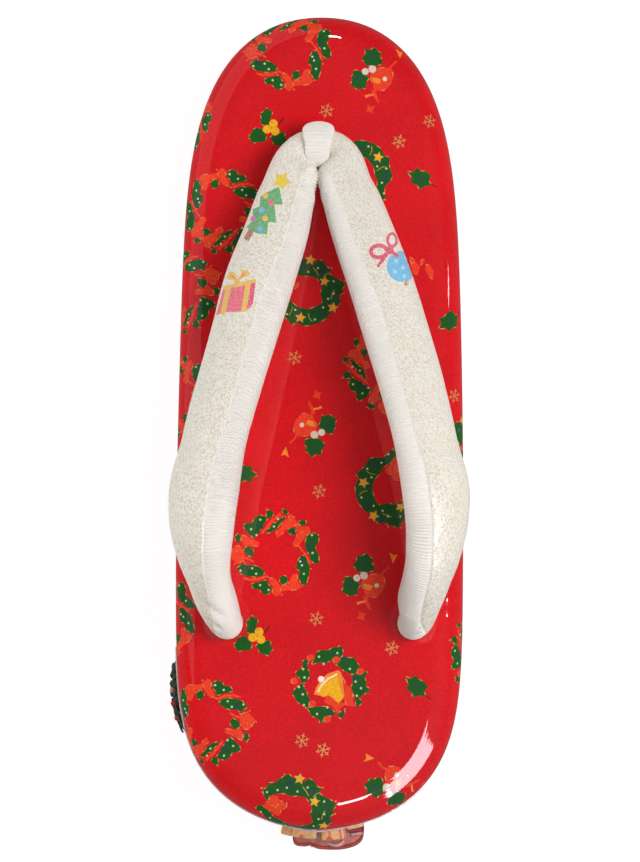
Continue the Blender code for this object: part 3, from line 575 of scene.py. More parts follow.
def laid(shapes, x, station, turn=0.0, size=1.0):
    """Shapes laid on a chart: their right is -X and their up is towards the toe."""
    cos, sin = size * math.cos(math.radians(turn)), size * math.sin(math.radians(turn))
    moved = []
    for shape in shapes:
        points = [(x - (cos * px - sin * py), station - (sin * px + cos * py)) for px, py in shape.points]
        moved.append(Shape(shape.ink, points))
    return moved


# The cover's print: each motif with its places (x, station, turn and sometimes size), and its snowflakes
PRINT_PLACES = [
    (ribbon_wreath, [(12.7, 158.1, 0), (9.7, 9.1, 0), (28.8, 57.1, 180), (32.0, 207.4, 180),
                     (-19.5, 104.1, 90), (45.0, 28.5, 100), (42.5, 80.7, 200), (45.0, 112.0, 20),
                     (-51.0, 187.6, 60), (46.5, 140.0, 90), (48.6, 177.6, 30)]),
    (star_wreath, [(6.6, 233.7, 0), (4.1, 81.3, 0, 0.96), (-20.7, 139.3, -90, 0.97), (-11.0, 46.0, 140, 0.95),
                   (-47.5, 128.0, 30, 0.95)]),
    (bell_wreath, [(-3.7, 196.2, 0)]),
    (bell_sprig, [(0.5, 123.1, 0), (-14.4, 15.7, 180), (-12.3, 165.1, 180), (-20.4, 227.2, -90)]),
    (berry_sprig, [(17.9, 182.3, 0), (14.5, 32.6, 0), (-40.5, 128.0, 120)]),
    (holly_leaf, [(-29.5, 47.7, 0), (-28.6, 197.0, -15), (22.1, 134.8, 200), (-38.5, 90.0, 60)]),
    (ribbon_bits, [(-29.8, 74.5)]),
]
FLAKE_PLACES = [(-1.8, 27.6), (-23.3, 36.8), (-32.5, 30.6), (7.4, 100.8), (0.0, 140.1), (0.6, 177.3),
                (-21.5, 185.8), (4.7, 212.7), (-1.5, 215.4), (-40.1, 112.0)]
FLAKE_RADIUS = 2.2


def cover_print():
    """Every motif of the cover's print, in chart places."""
    shapes = []
    for motif, places in PRINT_PLACES:
        for place in places:
            shapes += laid(motif(), *place)
    for x, station in FLAKE_PLACES:
        shapes += flake(x, station, FLAKE_RADIUS)
    return shapes


def ring_band(ink, x, y, wide, tall, stroke, sides=14):
    """A drawn ring, as a band that closes on itself."""
    turns = np.linspace(0.0, FULL_TURN, sides + 1)
    return band(ink, np.stack([x + wide * np.cos(turns), y + tall * np.sin(turns)], axis=1), stroke)


# ---- from charts to surfaces ----

Cut = namedtuple("Cut", "chart triangles inks")
LEAST_AREA = 0.01


def cut_chart(shapes, points):
    """Triangles of a chart cut along every shape; each takes the ink of the last shape over it."""
    corners, outlines = [], []
    shapes = [shape for shape in shapes if abs(area_of(shape.points)) > LEAST_AREA]
    for shape in shapes:
        outline = anticlockwise(shape.points)
        outlines.append(list(range(len(corners), len(corners) + len(outline))))
        corners += outline
    corners += [tuple(p) for p in points]
    found = delaunay_2d_cdt([Vector(c) for c in corners], [], outlines, 0, 1e-4, True)
    triangles, inks = [], []
    for triangle, over in zip(found[2], found[5]):
        if 0 not in over:
            continue
        ink = shapes[max(over)].ink
        if ink != "hole":
            triangles.append(tuple(triangle))
            inks.append(ink)
    used = sorted({i for triangle in triangles for i in triangle})
    renumbered = {old: new for new, old in enumerate(used)}
    chart = np.array([tuple(found[0][i])[:2] for i in used])
    return Cut(chart, [tuple(renumbered[i] for i in t) for t in triangles], inks)


def open_edges(triangles):
    """Loops of points round the openings of a sheet, each against the triangles' own direction."""
    forward = set()
    for a, b, c in triangles:
        forward |= {(a, b), (b, c), (c, a)}
    after = {b: a for a, b in forward if (b, a) not in forward}
    loops = []
    while after:
        first, following = after.popitem()
        loop = [first]
        while following != first:
            loop.append(following)
            following = after.pop(following)
        loops.append(loop)
    return sorted(loops, key=len, reverse=True)


def grid_points(inset, step):
    """Places of a square grid that lie well inside the outline moved inwards."""
    kept = []
    for station in np.arange(TOE_START + inset + 0.7 * step, HEEL_END - inset - 0.6 * step, step):
        narrow = min(half_width(station - inset), half_width(station + inset)) - inset - 0.5 * step
        kept += [(x, station) for x in np.arange(-44.0 + 0.37 * step, 44.0, step) if abs(x) < narrow]
    return kept


def circle(hole, radius, sides=40):
    """Places on a circle about a strap hole."""
    return [(hole.x + radius * math.cos(t), hole.station + radius * math.sin(t)) for t in even_turns(sides)]


def near_hole(x, station, clear):
    """Whether a place is within a distance of a strap hole's edge."""
    return any(math.hypot(x - hole.x, station - hole.station) < hole.radius + clear for hole in HOLES)


class Body:
    """Points, faces, inks and normals of one closed piece while it is put together."""

    def __init__(self):
        self.points = []
        self.faces = []
        self.inks = []
        self.normals = []

    def add_points(self, points, normals=None):
        """Add points and return their numbers."""
        first = len(self.points)
        normals = [(0.0, 0.0, 0.0)] * len(points) if normals is None else normals
        self.points += [tuple(p) for p in points]
        self.normals += [tuple(n) for n in normals]
        return list(range(first, len(self.points)))

    def add_faces(self, faces, ink="plain"):
        """Add faces of one ink."""
        self.faces += [tuple(face) for face in faces]
        self.inks += [ink] * len(faces)

    def add_cut(self, cut, surface, normals, same=None):
        """Add a cut chart, laid on its surface; same says which points are one with others."""
        self.add_points(surface(cut.chart), normals)
        self.faces += [tuple((same or {}).get(i, i) for i in triangle) for triangle in cut.triangles]
        self.inks += cut.inks

    def wall(self, upper, lower):
        """Join two loops of equal count with a wall."""
        count = len(upper)
        self.add_faces([(upper[i], upper[(i + 1) % count], lower[(i + 1) % count], lower[i])
                        for i in range(count)])

    def skin(self, loops, ends=True):
        """Join a row of loops with walls, and close its ends."""
        for upper, lower in zip(loops, loops[1:]):
            self.wall(upper, lower)
        if ends:
            self.add_faces([loops[0], loops[-1]])

    def cap(self, loops, inner, height, ink="plain"):
        """Close loops with one sheet, through inner places at a height that depends on the place."""
        numbers, fixed = [], []
        for loop in loops:
            first, count = len(numbers), len(loop)
            fixed += [(first + k, first + (k + 1) % count) for k in range(count)]
            numbers += loop
        corners = [(self.points[i][0], self.points[i][1] + HEEL_REST_STATION) for i in numbers] + list(inner)
        found = delaunay_2d_cdt([Vector(c) for c in corners], fixed, [], 2, 1e-5, True)
        where = {}
        for new, sources in enumerate(found[3]):
            for source in sources:
                if source < len(numbers):
                    where[new] = numbers[source]
        used = {i for face in found[2] for i in face}
        for new in sorted(used - set(where)):
            spot = np.array(tuple(found[0][new])[:2])
            where[new] = self.add_points([in_frame(spot, float(height(spot[1])))])[0]
        self.add_faces([[where[i] for i in face] for face in found[2]], ink)


def new_object(name, data):
    """An object in the scene."""
    item = bpy.data.objects.new(name, data)
    bpy.context.collection.objects.link(item)
    return item


def build(name, body, *finishes, second=None, angle=None):
    """Make the object of a body; faces of the second ink take the second finish."""
    mesh = bpy.data.meshes.new(name)
    mesh.from_pydata([tuple(MM * c for c in p) for p in body.points], [], body.faces)
    for finish in finishes:
        mesh.materials.append(finish)
    mesh.polygons.foreach_set("material_index", [int(ink == second) for ink in body.inks])
    build_mesh = bmesh.new()
    build_mesh.from_mesh(mesh)
    bmesh.ops.recalc_face_normals(build_mesh, faces=build_mesh.faces)
    build_mesh.to_mesh(mesh)
    build_mesh.free()
    item = new_object(name, mesh)
    mesh.shade_smooth()
    if angle is not None:
        mesh.set_sharp_from_angle(angle=math.radians(angle))
    if any(any(normal) for normal in body.normals):
        mesh.normals_split_custom_set_from_vertices(body.normals)
    return item


def paint(item, body):
    """Give each face its ink's colour, and its share of foil."""
    mesh = item.data
    colours = mesh.color_attributes.new("ink", "FLOAT_COLOR", "CORNER")
    foils = mesh.attributes.new("foil", "FLOAT", "FACE")
    counts = [polygon.loop_total for polygon in mesh.polygons]
    values = np.array([(*INKS[ink], 1.0) for ink in body.inks])
    colours.data.foreach_set("color", np.repeat(values, counts, axis=0).ravel())
    foils.data.foreach_set("value", [1.0 if ink in ("gold", "ivory") else 0.0 for ink in body.inks])


def keep(item, slot, *nodes):
    """The piece rides with the sandal and stands for CAD nodes; slot is not used."""
    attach(item, "root")
    if nodes:
        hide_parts(*nodes)


def rgb(red, green, blue):
    """Linear colour from everyday values of 0 to 255."""
    parts = np.array([red, green, blue]) / 255.0
    return tuple(float(c) for c in np.where(parts < 0.04045, parts / 12.92, ((parts + 0.055) / 1.055) ** 2.4))


INKS = {
    "red": rgb(214, 15, 25),
    "red_dark": rgb(120, 25, 25),
    "leaf": rgb(26, 90, 26),
    "teal": rgb(34, 78, 62),
    "coral": rgb(238, 64, 34),
    "yellow": rgb(245, 178, 30),
    "cream": rgb(250, 222, 170),
    "pale": rgb(196, 214, 172),
    "gold": rgb(198, 152, 92),
    "plain": rgb(150, 20, 26),
    "under": rgb(120, 18, 24),
    "ivory": rgb(231, 223, 209),
    "lining": rgb(238, 233, 226),
    "pink": rgb(238, 110, 130),
    "rose": rgb(226, 86, 116),
    "mint": rgb(105, 175, 115),
    "trunk": rgb(180, 125, 105),
    "sky": rgb(116, 190, 234),
    "foam": rgb(176, 222, 240),
    "mauve": rgb(200, 130, 190),
    "straw": rgb(238, 192, 92),
    "lemon": rgb(240, 206, 44),
    "snow": rgb(222, 210, 192),
    "orange": rgb(246, 138, 46),
}


# ---- cover, wrapped platform and soles ----

def ring_points(reach, count):
    """Chart places a reach outside the shoulder line."""
    places, _ = rim(even_turns(count), SHOULDER_ACROSS - reach)
    return [tuple(p) for p in places]


def drop_loop(body, loop, middle, shrink, heights):
    """A copy of a loop, pulled in towards a hole's middle and set to heights."""
    places = np.array([body.points[i] for i in loop])
    towards = middle - places
    towards[:, 2] = 0.0
    places = places + unit(towards) * shrink
    places[:, 2] = heights if heights is not None else places[:, 2]
    return body.add_points(places)


# Where the cover's mesh has rings: reaches over the shoulder line, and distances from a hole's edge
EDGE_REACHES = [0.0, *np.arange(0.9, 10.2, 0.93), 10.9, 11.7, 12.3, 12.8, 13.3, 13.8, 14.3]
HOLE_RINGS = [0.6, 1.3, 2.1, 3.2, 4.6]


def printed_cover(finish):
    """The padded footbed's cover: print under clear vinyl over a rounded shoulder, with three strap holes."""
    shapes = [Shape("red", ring_points(EDGE_END, 400))] + cover_print()
    shapes += [Shape("hole", circle(hole, hole.radius)) for hole in HOLES]
    inner = grid_points(SHOULDER_ACROSS, 3.6)
    for reach in EDGE_REACHES:
        inner += ring_points(reach + 0.01, 250)
    for hole in HOLES:
        for clear in HOLE_RINGS:
            inner += circle(hole, hole.radius + clear, 44)
    cut = cut_chart(shapes, [p for p in inner if not near_hole(*p, 0.4)])
    body = Body()
    body.add_cut(cut, cover_points, normals_on(cover_points, cut.chart))
    edge, *hole_loops = open_edges(cut.triangles)
    bottoms = []
    for loop in hole_loops:
        middle = np.mean([body.points[i] for i in loop], axis=0)
        hole_top = float(top_height(middle[1] + HEEL_REST_STATION))
        loops = [loop]
        for shrink, drop in [(0.15, DIMPLE + 0.25), (0.3, DIMPLE + 1.0)]:
            loops.append(drop_loop(body, loop, middle, shrink, hole_top - drop))
        heights = [float(top_height(body.points[i][1] + HEEL_REST_STATION)) - COVER_THICK for i in loops[-1]]
        loops.append(drop_loop(body, loops[-1], middle, 0.0, heights))
        body.skin(loops, ends=False)
        bottoms.append(loops[-1])
    body.cap([edge] + bottoms, [p for p in grid_points(4.0, 6.0) if not near_hole(*p, 1.0)],
             lambda station: top_height(station) - COVER_THICK)
    item = build("printed_cover", body, finish)
    paint(item, body)
    keep(item, "printed_cover", "footbed")


RIM_ARCS = np.concatenate([[0.0], np.cumsum(np.hypot(*np.diff(np.vstack([RIM, RIM[:1]]), axis=0).T))])
HEEL_ARC = RIM_ARCS[RIM_PLACES // 2]
AROUND_CLOSED = np.append(AROUND, FULL_TURN)


def around_at(arc):
    """Place round the outline at an arc from the heel's middle, positive on the +X side."""
    return np.interp(HEEL_ARC - np.asarray(arc, dtype=float), RIM_ARCS, AROUND_CLOSED)


def arc_of(station):
    """Arc from the heel's middle to a station on the +X side."""
    turn = turn_at(station)
    return HEEL_ARC - float(np.interp(turn, AROUND_CLOSED, RIM_ARCS))


def wall_limits(station):
    """Heights between which the platform's wall is straight."""
    return under_height(station) + WALL_EDGE, top_height(station) - COVER_THICK - SEAT_GAP - WALL_EDGE


def wall_inset(share):
    """How far in the tapering wall is, at a share of the way from its top down."""
    return WALL_TOP_INSET + share * (WALL_BOTTOM_INSET - WALL_TOP_INSET)


def on_wall(arc, height, out):
    """Points a distance out from the platform's wall."""
    arc, height, out = np.broadcast_arrays(*(np.asarray(v, dtype=float) for v in (arc, height, out)))
    around = around_at(arc)
    low, high = wall_limits(rim(around)[0][..., 1])
    places, _ = rim(around, wall_inset((high - height) / (high - low)) - SEAT_GAP - out)
    return in_frame(places, height)


def wrap_points(chart):
    """The platform's wall over its unrolled chart (arc, height), with rounded edges."""
    around, height = around_at(chart[:, 0]), chart[:, 1]
    low, high = wall_limits(rim(around)[0][:, 1])
    over = np.clip((height - high) / WALL_EDGE, 0.0, 1.0)
    below = np.clip((low - height) / WALL_EDGE, 0.0, 1.0)
    inset = wall_inset(np.clip((high - height) / (high - low), 0.0, 1.0))
    inset = inset + (COVER_TUCK - WALL_TOP_INSET) * (1.0 - np.sqrt(1.0 - over ** 2))
    inset = inset + WALL_EDGE * (1.0 - np.sqrt(1.0 - below ** 2))
    places, _ = rim(around, inset)
    return in_frame(places, height)


WALL_PRINT_END = 262.0
WALL_PRINT_PITCH = 33.0
WRAP_SHARES = [0.02, 0.06, 0.16, 0.38, 0.62, 0.84, 0.94, 0.98]      # of the wall's height, for its mesh


def wall_print():
    """Motifs of the platform's wrap, which carries the cover's print on."""
    shapes = []
    stamps = [ribbon_wreath(), bell_sprig(), star_wreath(), berry_sprig()]
    for k, arc in enumerate(np.arange(-WALL_PRINT_END, WALL_PRINT_END, WALL_PRINT_PITCH)):
        station = float(rim(around_at(arc))[0][1])
        middle = 0.5 * float(top_height(station) + under_height(station)) - 4.0
        height = middle + (4.5 if k % 2 else -3.5)
        for shape in laid(stamps[k % 4], 0.0, 0.0, 50.0 * k):
            shapes.append(Shape(shape.ink, [(arc + x, height + y) for x, y in shape.points]))
        shapes += flake(arc + 16.0, middle + (5.0 if k % 2 else -1.0), 1.9)
    return shapes


def wrap_chart(half):
    """The wall's chart, cut along its print, from an arc of -half to half."""
    arcs = np.linspace(-half, half, 361)
    stations = rim(around_at(arcs))[0][:, 1]
    tops = top_height(stations) - COVER_THICK - SEAT_GAP
    unders = under_height(stations)
    right = [(half, unders[-1] + t * (tops[-1] - unders[-1])) for t in WRAP_SHARES]
    left = [(-half, height) for _, height in right[::-1]]
    outline = list(zip(arcs, unders)) + right + list(zip(arcs, tops))[::-1] + left
    inner = []
    for share in WRAP_SHARES:
        inner += list(zip(arcs[1:-1], unders[1:-1] + share * (tops - unders)[1:-1]))
    return cut_chart([Shape("red", outline)] + wall_print(), inner)


def chart_edge(chart, on_edge):
    """Numbers of a chart's places on one of its upright edges, from the lowest up."""
    found = np.flatnonzero(on_edge)
    return found[np.argsort(chart[found, 1])].tolist()


def printed_wrap(print_finish, under_finish):
    """The platform's wrap: printed wall, plain underside, and blind holes for the strap's ends."""
    half = 0.5 * RIM_ARCS[-1]
    cut = wrap_chart(half)
    same = dict(zip(chart_edge(cut.chart, cut.chart[:, 0] < -half + 1e-3),
                    chart_edge(cut.chart, cut.chart[:, 0] > half - 1e-3)))
    body = Body()
    body.add_cut(cut, wrap_points, -normals_on(wrap_points, cut.chart), same)
    above, below = sorted(open_edges(body.faces)[:2], key=lambda loop: -body.points[loop[0]][2])
    mouths = []
    for hole in HOLES:
        places = np.array(circle(hole, hole.radius + 0.2, 32))
        mouth = body.add_points(in_frame(places, top_height(places[:, 1]) - COVER_THICK - SEAT_GAP))
        floor = body.add_points(in_frame(places, float(top_height(hole.station)) - HOLE_DEPTH))
        body.wall(mouth, floor)
        body.add_faces([floor])
        mouths.append(mouth)
    body.cap([above] + mouths, [p for p in grid_points(4.0, 6.0) if not near_hole(*p, 1.2)],
             lambda station: top_height(station) - COVER_THICK - SEAT_GAP)
    body.cap([below], grid_points(6.0, 6.0), under_height, "under")
    item = build("printed_wrap", body, print_finish, under_finish, second="under")
    paint(item, body)
    keep(item, "printed_cover", "platform")


def tread_lift(station, middles):
    """Depth of the sole's cross grooves at a station."""
    reach = np.min([np.abs(station - middle) for middle in middles], axis=0)
    return np.clip((GROOVE_HALF - reach) / GROOVE_SLOPE, 0.0, 1.0)


def rubber_slab(name, around, rings, treads, node, finish):
    """A rubber sole: a ring of places for each (inset, height rule), with cross grooves underneath."""
    body = Body()
    loops = []
    for inset, height in rings:
        places, _ = rim(around, inset)
        loops.append(body.add_points(in_frame(places, height(places[:, 1]))))
    body.skin(loops, ends=False)
    first = min(p[1] for p in body.points) + HEEL_REST_STATION
    last = max(p[1] for p in body.points) + HEEL_REST_STATION
    inner = [p for p in grid_points(RUBBER_INSET + 1.5, 6.0) if first + 1 < p[1] < last - 1]
    grooves = []
    for middle in treads:
        for edge in (-GROOVE_HALF, GROOVE_SLOPE - GROOVE_HALF, GROOVE_HALF - GROOVE_SLOPE, GROOVE_HALF):
            narrow = float(half_width(middle + edge)) - RUBBER_INSET - 2.0
            grooves += [(x, middle + edge) for x in np.linspace(-narrow, narrow, 12)]
    between_grooves = [p for p in inner if min(abs(p[1] - m) for m in treads) > 2.0]
    body.cap([loops[0]], inner, rings[0][1])
    body.cap([loops[-1]], between_grooves + grooves, rings[-1][1])
    keep(build(name, body, finish, angle=35), "sole_rubber", node)


def rubber_soles(finish):
    """The thin forefoot sole and the heel's block."""
    edge = turn_at(OUTSOLE_END)
    thick = OUTSOLE_THICK + SEAT_GAP
    rings = [(RUBBER_INSET + 0.4, lambda s: under_height(s) - SEAT_GAP),
             (RUBBER_INSET, lambda s: under_height(s) - SEAT_GAP - 0.5),
             (RUBBER_INSET, lambda s: under_height(s) - thick + 1.0),
             (RUBBER_INSET + 0.2, lambda s: under_height(s) - thick + 0.25 + tread_lift(s, FOREFOOT_TREAD)),
             (RUBBER_INSET + 0.7, lambda s: under_height(s) - thick + tread_lift(s, FOREFOOT_TREAD))]
    around = np.linspace(-edge, edge, 300)
    rubber_slab("forefoot_sole", around, rings, FOREFOOT_TREAD, "forefoot_outsole", finish)
    edge = turn_at(HEEL_LIFT_START)
    rings = [(RUBBER_INSET + 0.3, lambda s: HEEL_LIFT_THICK + 0.0 * s),
             (RUBBER_INSET, lambda s: HEEL_LIFT_THICK - 0.5 + 0.0 * s),
             (RUBBER_INSET + 0.5, lambda s: 1.0 + 0.0 * s),
             (RUBBER_INSET + 0.8, lambda s: 0.3 + tread_lift(s, HEEL_TREAD)),
             (RUBBER_INSET + 1.2, lambda s: tread_lift(s, HEEL_TREAD))]
    around = np.linspace(edge, FULL_TURN - edge, 300)
    rubber_slab("heel_block", around, rings, HEEL_TREAD, "heel_lift", finish)


# ---- the padded strap ----

# From the middle of the fold to the outer side's rear hole, mirrored for the inner side. rise is above
# the cover; tall and thick are the half sizes of the section; lean turns its tall axis.
StrapRow = namedtuple("StrapRow", "station offset rise tall thick lean")
STRAP = [StrapRow(*row) for row in [
    (38.5, 0.0, 9.5, 4.9, 3.6, 0), (38.6, 2.6, 9.5, 4.9, 3.7, 2), (39.6, 5.4, 9.7, 4.9, 4.2, 5),
    (42.6, 7.2, 10.1, 6.1, 4.7, 10), (46.0, 7.9, 10.8, 7.5, 5.3, 18), (50.2, 8.55, 11.8, 8.4, 5.9, 26),
    (55.5, 10.1, 13.3, 9.3, 6.4, 33), (64.0, 12.9, 15.9, 10.1, 6.9, 40), (78.0, 17.8, 20.0, 11.4, 7.4, 47),
    (92.5, 22.1, 24.0, 12.4, 7.8, 52), (108.5, 26.9, 28.0, 12.7, 8.0, 54),
    (124.5, 31.1, 30.6, 12.7, 8.1, 56), (140.5, 33.8, 30.8, 12.6, 8.4, 60),
    (150.0, 34.3, 29.0, 12.3, 8.2, 67), (158.0, 33.9, 25.2, 11.4, 7.5, 76),
    (165.4, 32.6, 19.4, 10.0, 6.8, 86), (170.8, 31.0, 13.6, 8.5, 6.4, 94),
    (175.2, 29.3, 7.9, 7.0, 5.3, 104), (177.9, 27.9, 3.2, 5.5, 4.5, 110),
    (178.3, 27.35, -0.8, 4.6, 4.4, 112), (178.3, 27.3, -5.0, 4.4, 4.4, 112),
    (178.3, 27.3, -TAIL_DEPTH, 4.4, 4.4, 112)]]

# What tells the two sides apart: shifts towards -X and growths of the half width, outer and inner side
EASE_STATIONS = [38, 42, 46, 50, 54, 64, 78, 92.5, 108.5, 124.5, 140.5, 150, 158, 165.4, 170.8, 175.2,
                 177.9, 178.3]
OUTER_SHIFTS = [0, 0, 0.25, -0.2, -0.2, 0.43, 0.72, 1.15, 1.6, 1.75, 1.45, 1.45, 1.45, 1.6, 1.5, 1.5, 1.0,
                0.6]
OUTER_GROWTHS = [0, 0, 0.1, -0.1, 0, 0.43, 0.65, 0, -0.43, -0.43, 0.58, 0.43, 0, -0.7, -0.5, -0.2, 0, 0]
INNER_SHIFTS = [0, -0.4, -1.1, -0.7, -0.2, 0, 0.15, 0.43, 0.43, 0.3, 0.87, 0.58, 0, -0.87, -1.1, -0.2, 0.3,
                0.4]
INNER_GROWTHS = [0, 0, 0, -0.2, -0.2, 0, -0.15, -0.43, -0.72, -0.87, 0, -0.15, 0, 0, 0, 0, 0, 0]

# Where the cloth's folded edge meets the lining: share of the section's plan half width, inwards
SEAM_STATIONS = [38, 42.5, 44, 46, 48, 51.5, 58, 67, 92, 108, 124, 134, 140, 149, 157, 165, 172, 179]
SEAM_SHARES = [1.0, 1.0, 0.86, 0.64, 0.5, 0.4, 0.34, 0.34, 0.21, 0.25, 0.27, 0.2, 0.19, 0.13, 0.04, -0.12,
               -0.42, -0.8]
LINING_START = -155.0          # degrees round the section, on the strap's hidden underside
CLOTH_END = 205.0
CHART_RADIUS = 10.0            # chart millimetres for each radian round the section
CHART_LOW, CHART_HIGH = CHART_RADIUS * math.radians(LINING_START), CHART_RADIUS * math.radians(CLOTH_END)


def strap_frames():
    """Runs along half the strap with its middle, its tall and thick half axes and the seam's angle."""
    columns = dict(zip(StrapRow._fields, np.array(STRAP, dtype=float).T))
    heights = top_height(columns["station"]) + columns["rise"]
    places = in_frame(np.stack([columns["offset"], columns["station"]], axis=1), heights)
    knots = np.concatenate([[0.0], np.cumsum(np.linalg.norm(np.diff(places, axis=0), axis=1))])
    runs = np.append(np.arange(0.0, knots[-1], 0.5), knots[-1])
    value = {name: smooth_through(knots, column)(runs) for name, column in columns.items()}
    middle = in_frame(np.stack([value["offset"], value["station"]], axis=1),
                      top_height(value["station"]) + value["rise"])
    travel = unit(np.gradient(middle, axis=0))
    travel[0] = (1.0, 0.0, 0.0)
    level = np.cross(travel, (0.0, 0.0, 1.0))
    for k in range(1, len(level)):
        if np.linalg.norm(level[k]) < 0.12:
            level[k] = level[k - 1]
    outwards = unit(level)
    upwards = unit(np.cross(outwards, travel))
    lean = np.radians(value["lean"])[:, None]
    tall = value["tall"][:, None] * (upwards * np.sin(lean) - outwards * np.cos(lean))
    thick = value["thick"][:, None] * (outwards * np.sin(lean) + upwards * np.cos(lean))
    share = smooth_through(SEAM_STATIONS, SEAM_SHARES)(np.clip(value["station"], 38, 179))
    swing = np.arctan2(value["thick"] * np.sin(lean[:, 0]), value["tall"] * np.cos(lean[:, 0]))
    seam = np.degrees(np.arccos(np.clip(share, -1.0, 1.0)) - swing)
    return runs, middle, tall, thick, seam


def both_sides(values):
    """A half strap's vectors with their mirror image before them."""
    return np.concatenate([values[:0:-1] * (-1.0, 1.0, 1.0), values])


def evened(values, reach=5):
    """Values along a run, evened out over their neighbours."""
    weights = np.hanning(2 * reach + 3)[1:-1]
    weights /= weights.sum()
    wide = np.pad(values, [(reach, reach)] + [(0, 0)] * (values.ndim - 1), mode="edge")
    rows = [wide[k:k + len(values)] * weights[k] for k in range(2 * reach + 1)]
    return np.sum(rows, axis=0)


HALF_RUNS, HALF_MIDDLE, HALF_TALL, HALF_THICK, HALF_SEAM = strap_frames()
STRAP_END = float(HALF_RUNS[-1])
RUNS = np.concatenate([-HALF_RUNS[:0:-1], HALF_RUNS])


def told_apart(middles, talls, thicks):
    """The strap's sections with each side's own shift and growth."""
    stations = np.clip(middles[:, 1] + HEEL_REST_STATION, EASE_STATIONS[0], EASE_STATIONS[-1])
    shift, growth = (np.where(RUNS > 0.0, smooth_through(EASE_STATIONS, outer)(stations),
                              smooth_through(EASE_STATIONS, inner)(stations))
                     for outer, inner in ((OUTER_SHIFTS, INNER_SHIFTS), (OUTER_GROWTHS, INNER_GROWTHS)))
    size = 1.0 + growth / np.maximum(np.hypot(talls[:, 0], thicks[:, 0]), 1.0)
    return middles - np.outer(shift, (1.0, 0.0, 0.0)), talls * size[:, None], thicks * size[:, None]


MIDDLES, TALLS, THICKS = (evened(values) for values in told_apart(
    both_sides(HALF_MIDDLE), both_sides(HALF_TALL), both_sides(HALF_THICK)))
SEAM_TURNS = evened(np.concatenate([HALF_SEAM[:0:-1], HALF_SEAM]))


def along_strap(run, columns):
    """Vectors at runs, read between the strap's sections."""
    return np.stack([np.interp(run, RUNS, columns[:, k]) for k in range(3)], axis=-1)


def run_at(station):
    """Run on the +X side at a station."""
    return float(np.interp(station, HALF_MIDDLE[:, 1] + HEEL_REST_STATION + 1e-6 * HALF_RUNS, HALF_RUNS))


# Soft creases of the padding: side, first and last (station, degrees round the section), width, depth
Crease = namedtuple("Crease", "side start end width depth")
CREASES = [Crease(*row) for row in [
    (1, (47.5, 20), (52.5, -35), 1.3, 0.5), (1, (50.5, 60), (55.0, 25), 1.6, 0.35),
    (-1, (47.0, 15), (52.0, -30), 1.3, 0.5), (-1, (51.0, 55), (56.5, 30), 1.6, 0.35),
    (1, (166.0, 30), (171.5, -20), 1.5, 0.55), (1, (170.0, 45), (174.5, 0), 1.2, 0.6),
    (1, (173.2, 60), (176.8, 15), 1.1, 0.5), (-1, (165.0, 25), (171.0, -25), 1.5, 0.55),
    (-1, (169.5, 48), (174.0, 5), 1.2, 0.6), (-1, (172.8, 62), (176.5, 12), 1.1, 0.5),
    (1, (160.0, 140), (171.0, 120), 1.8, 0.4), (-1, (158.0, 142), (170.0, 118), 1.8, 0.4),
    (-1, (152.0, 46), (157.0, 10), 0.9, 0.25), (1, (96.0, 150), (118.0, 165), 3.2, 0.3),
    (-1, (88.0, 158), (112.0, 168), 3.2, 0.3)]]


def crease_relief(run, around):
    """Depth of the creases at chart places, with a low ridge beside each trough."""
    depth = np.zeros_like(run)
    for crease in CREASES:
        start, end = (np.array([crease.side * run_at(station), CHART_RADIUS * math.radians(turn)])
                      for station, turn in (crease.start, crease.end))
        along = end - start
        offset = np.stack([run, around], axis=-1) - start
        share = np.clip(offset @ along / (along @ along), 0.0, 1.0)
        away = np.linalg.norm(offset - share[..., None] * along, axis=-1) / crease.width
        taper = 1.0 - (2.0 * share - 1.0) ** 4
        depth = depth + crease.depth * taper * (np.exp(-away ** 2) - 0.45 * np.exp(-(away - 1.7) ** 2))
    return depth


def seam_chart(run):
    """Chart height of the seam at runs; it stays on the lining's side of the section's top at the ends."""
    ends = smooth_step((np.abs(run) - run_at(170.8)) / (run_at(177.9) - run_at(170.8)))
    turn = np.interp(run, RUNS, SEAM_TURNS)
    return CHART_RADIUS * np.radians(turn * (1.0 - ends) + 45.0 * ends)


def strap_points(chart):
    """The strap's surface over its chart (run, way round), with the seam's step and the creases."""
    run = np.clip(chart[:, 0], -STRAP_END, STRAP_END)
    turn = (chart[:, 1] / CHART_RADIUS)[:, None]
    tall, thick = along_strap(run, TALLS), along_strap(run, THICKS)
    tall_size = np.linalg.norm(tall, axis=1, keepdims=True)
    thick_size = np.linalg.norm(thick, axis=1, keepdims=True)
    out = unit(tall * np.cos(turn) / tall_size ** 2 + thick * np.sin(turn) / thick_size ** 2)
    scale = np.hypot(tall_size * np.sin(turn), thick_size * np.cos(turn))[:, 0] / CHART_RADIUS
    past_seam = (chart[:, 1] - seam_chart(run)) * scale
    step = 0.16 * smooth_step(past_seam / 0.45 + 0.5) * np.exp(-np.clip(past_seam, 0.0, None) / 9.0)
    groove = 0.14 * np.exp(-((past_seam + 0.45) / 0.4) ** 2)
    above = smooth_step((STRAP_END - TAIL_DEPTH + 1.0 - np.abs(run)) / 4.0)
    relief = above * (step - groove - crease_relief(run, chart[:, 1]))
    return along_strap(run, MIDDLES) + tall * np.cos(turn) + thick * np.sin(turn) + out * relief[:, None]


def seen_plan(points):
    """Where points fall on the ground's chart (x, station) when the camera looks at them."""
    share = (CAMERA.z - AIM.z) / (CAMERA.z - points[:, 2])
    return np.stack([CAMERA.x + (points[:, 0] - CAMERA.x) * share,
                     CAMERA.y + (points[:, 1] - CAMERA.y) * share + HEEL_REST_STATION], axis=1)


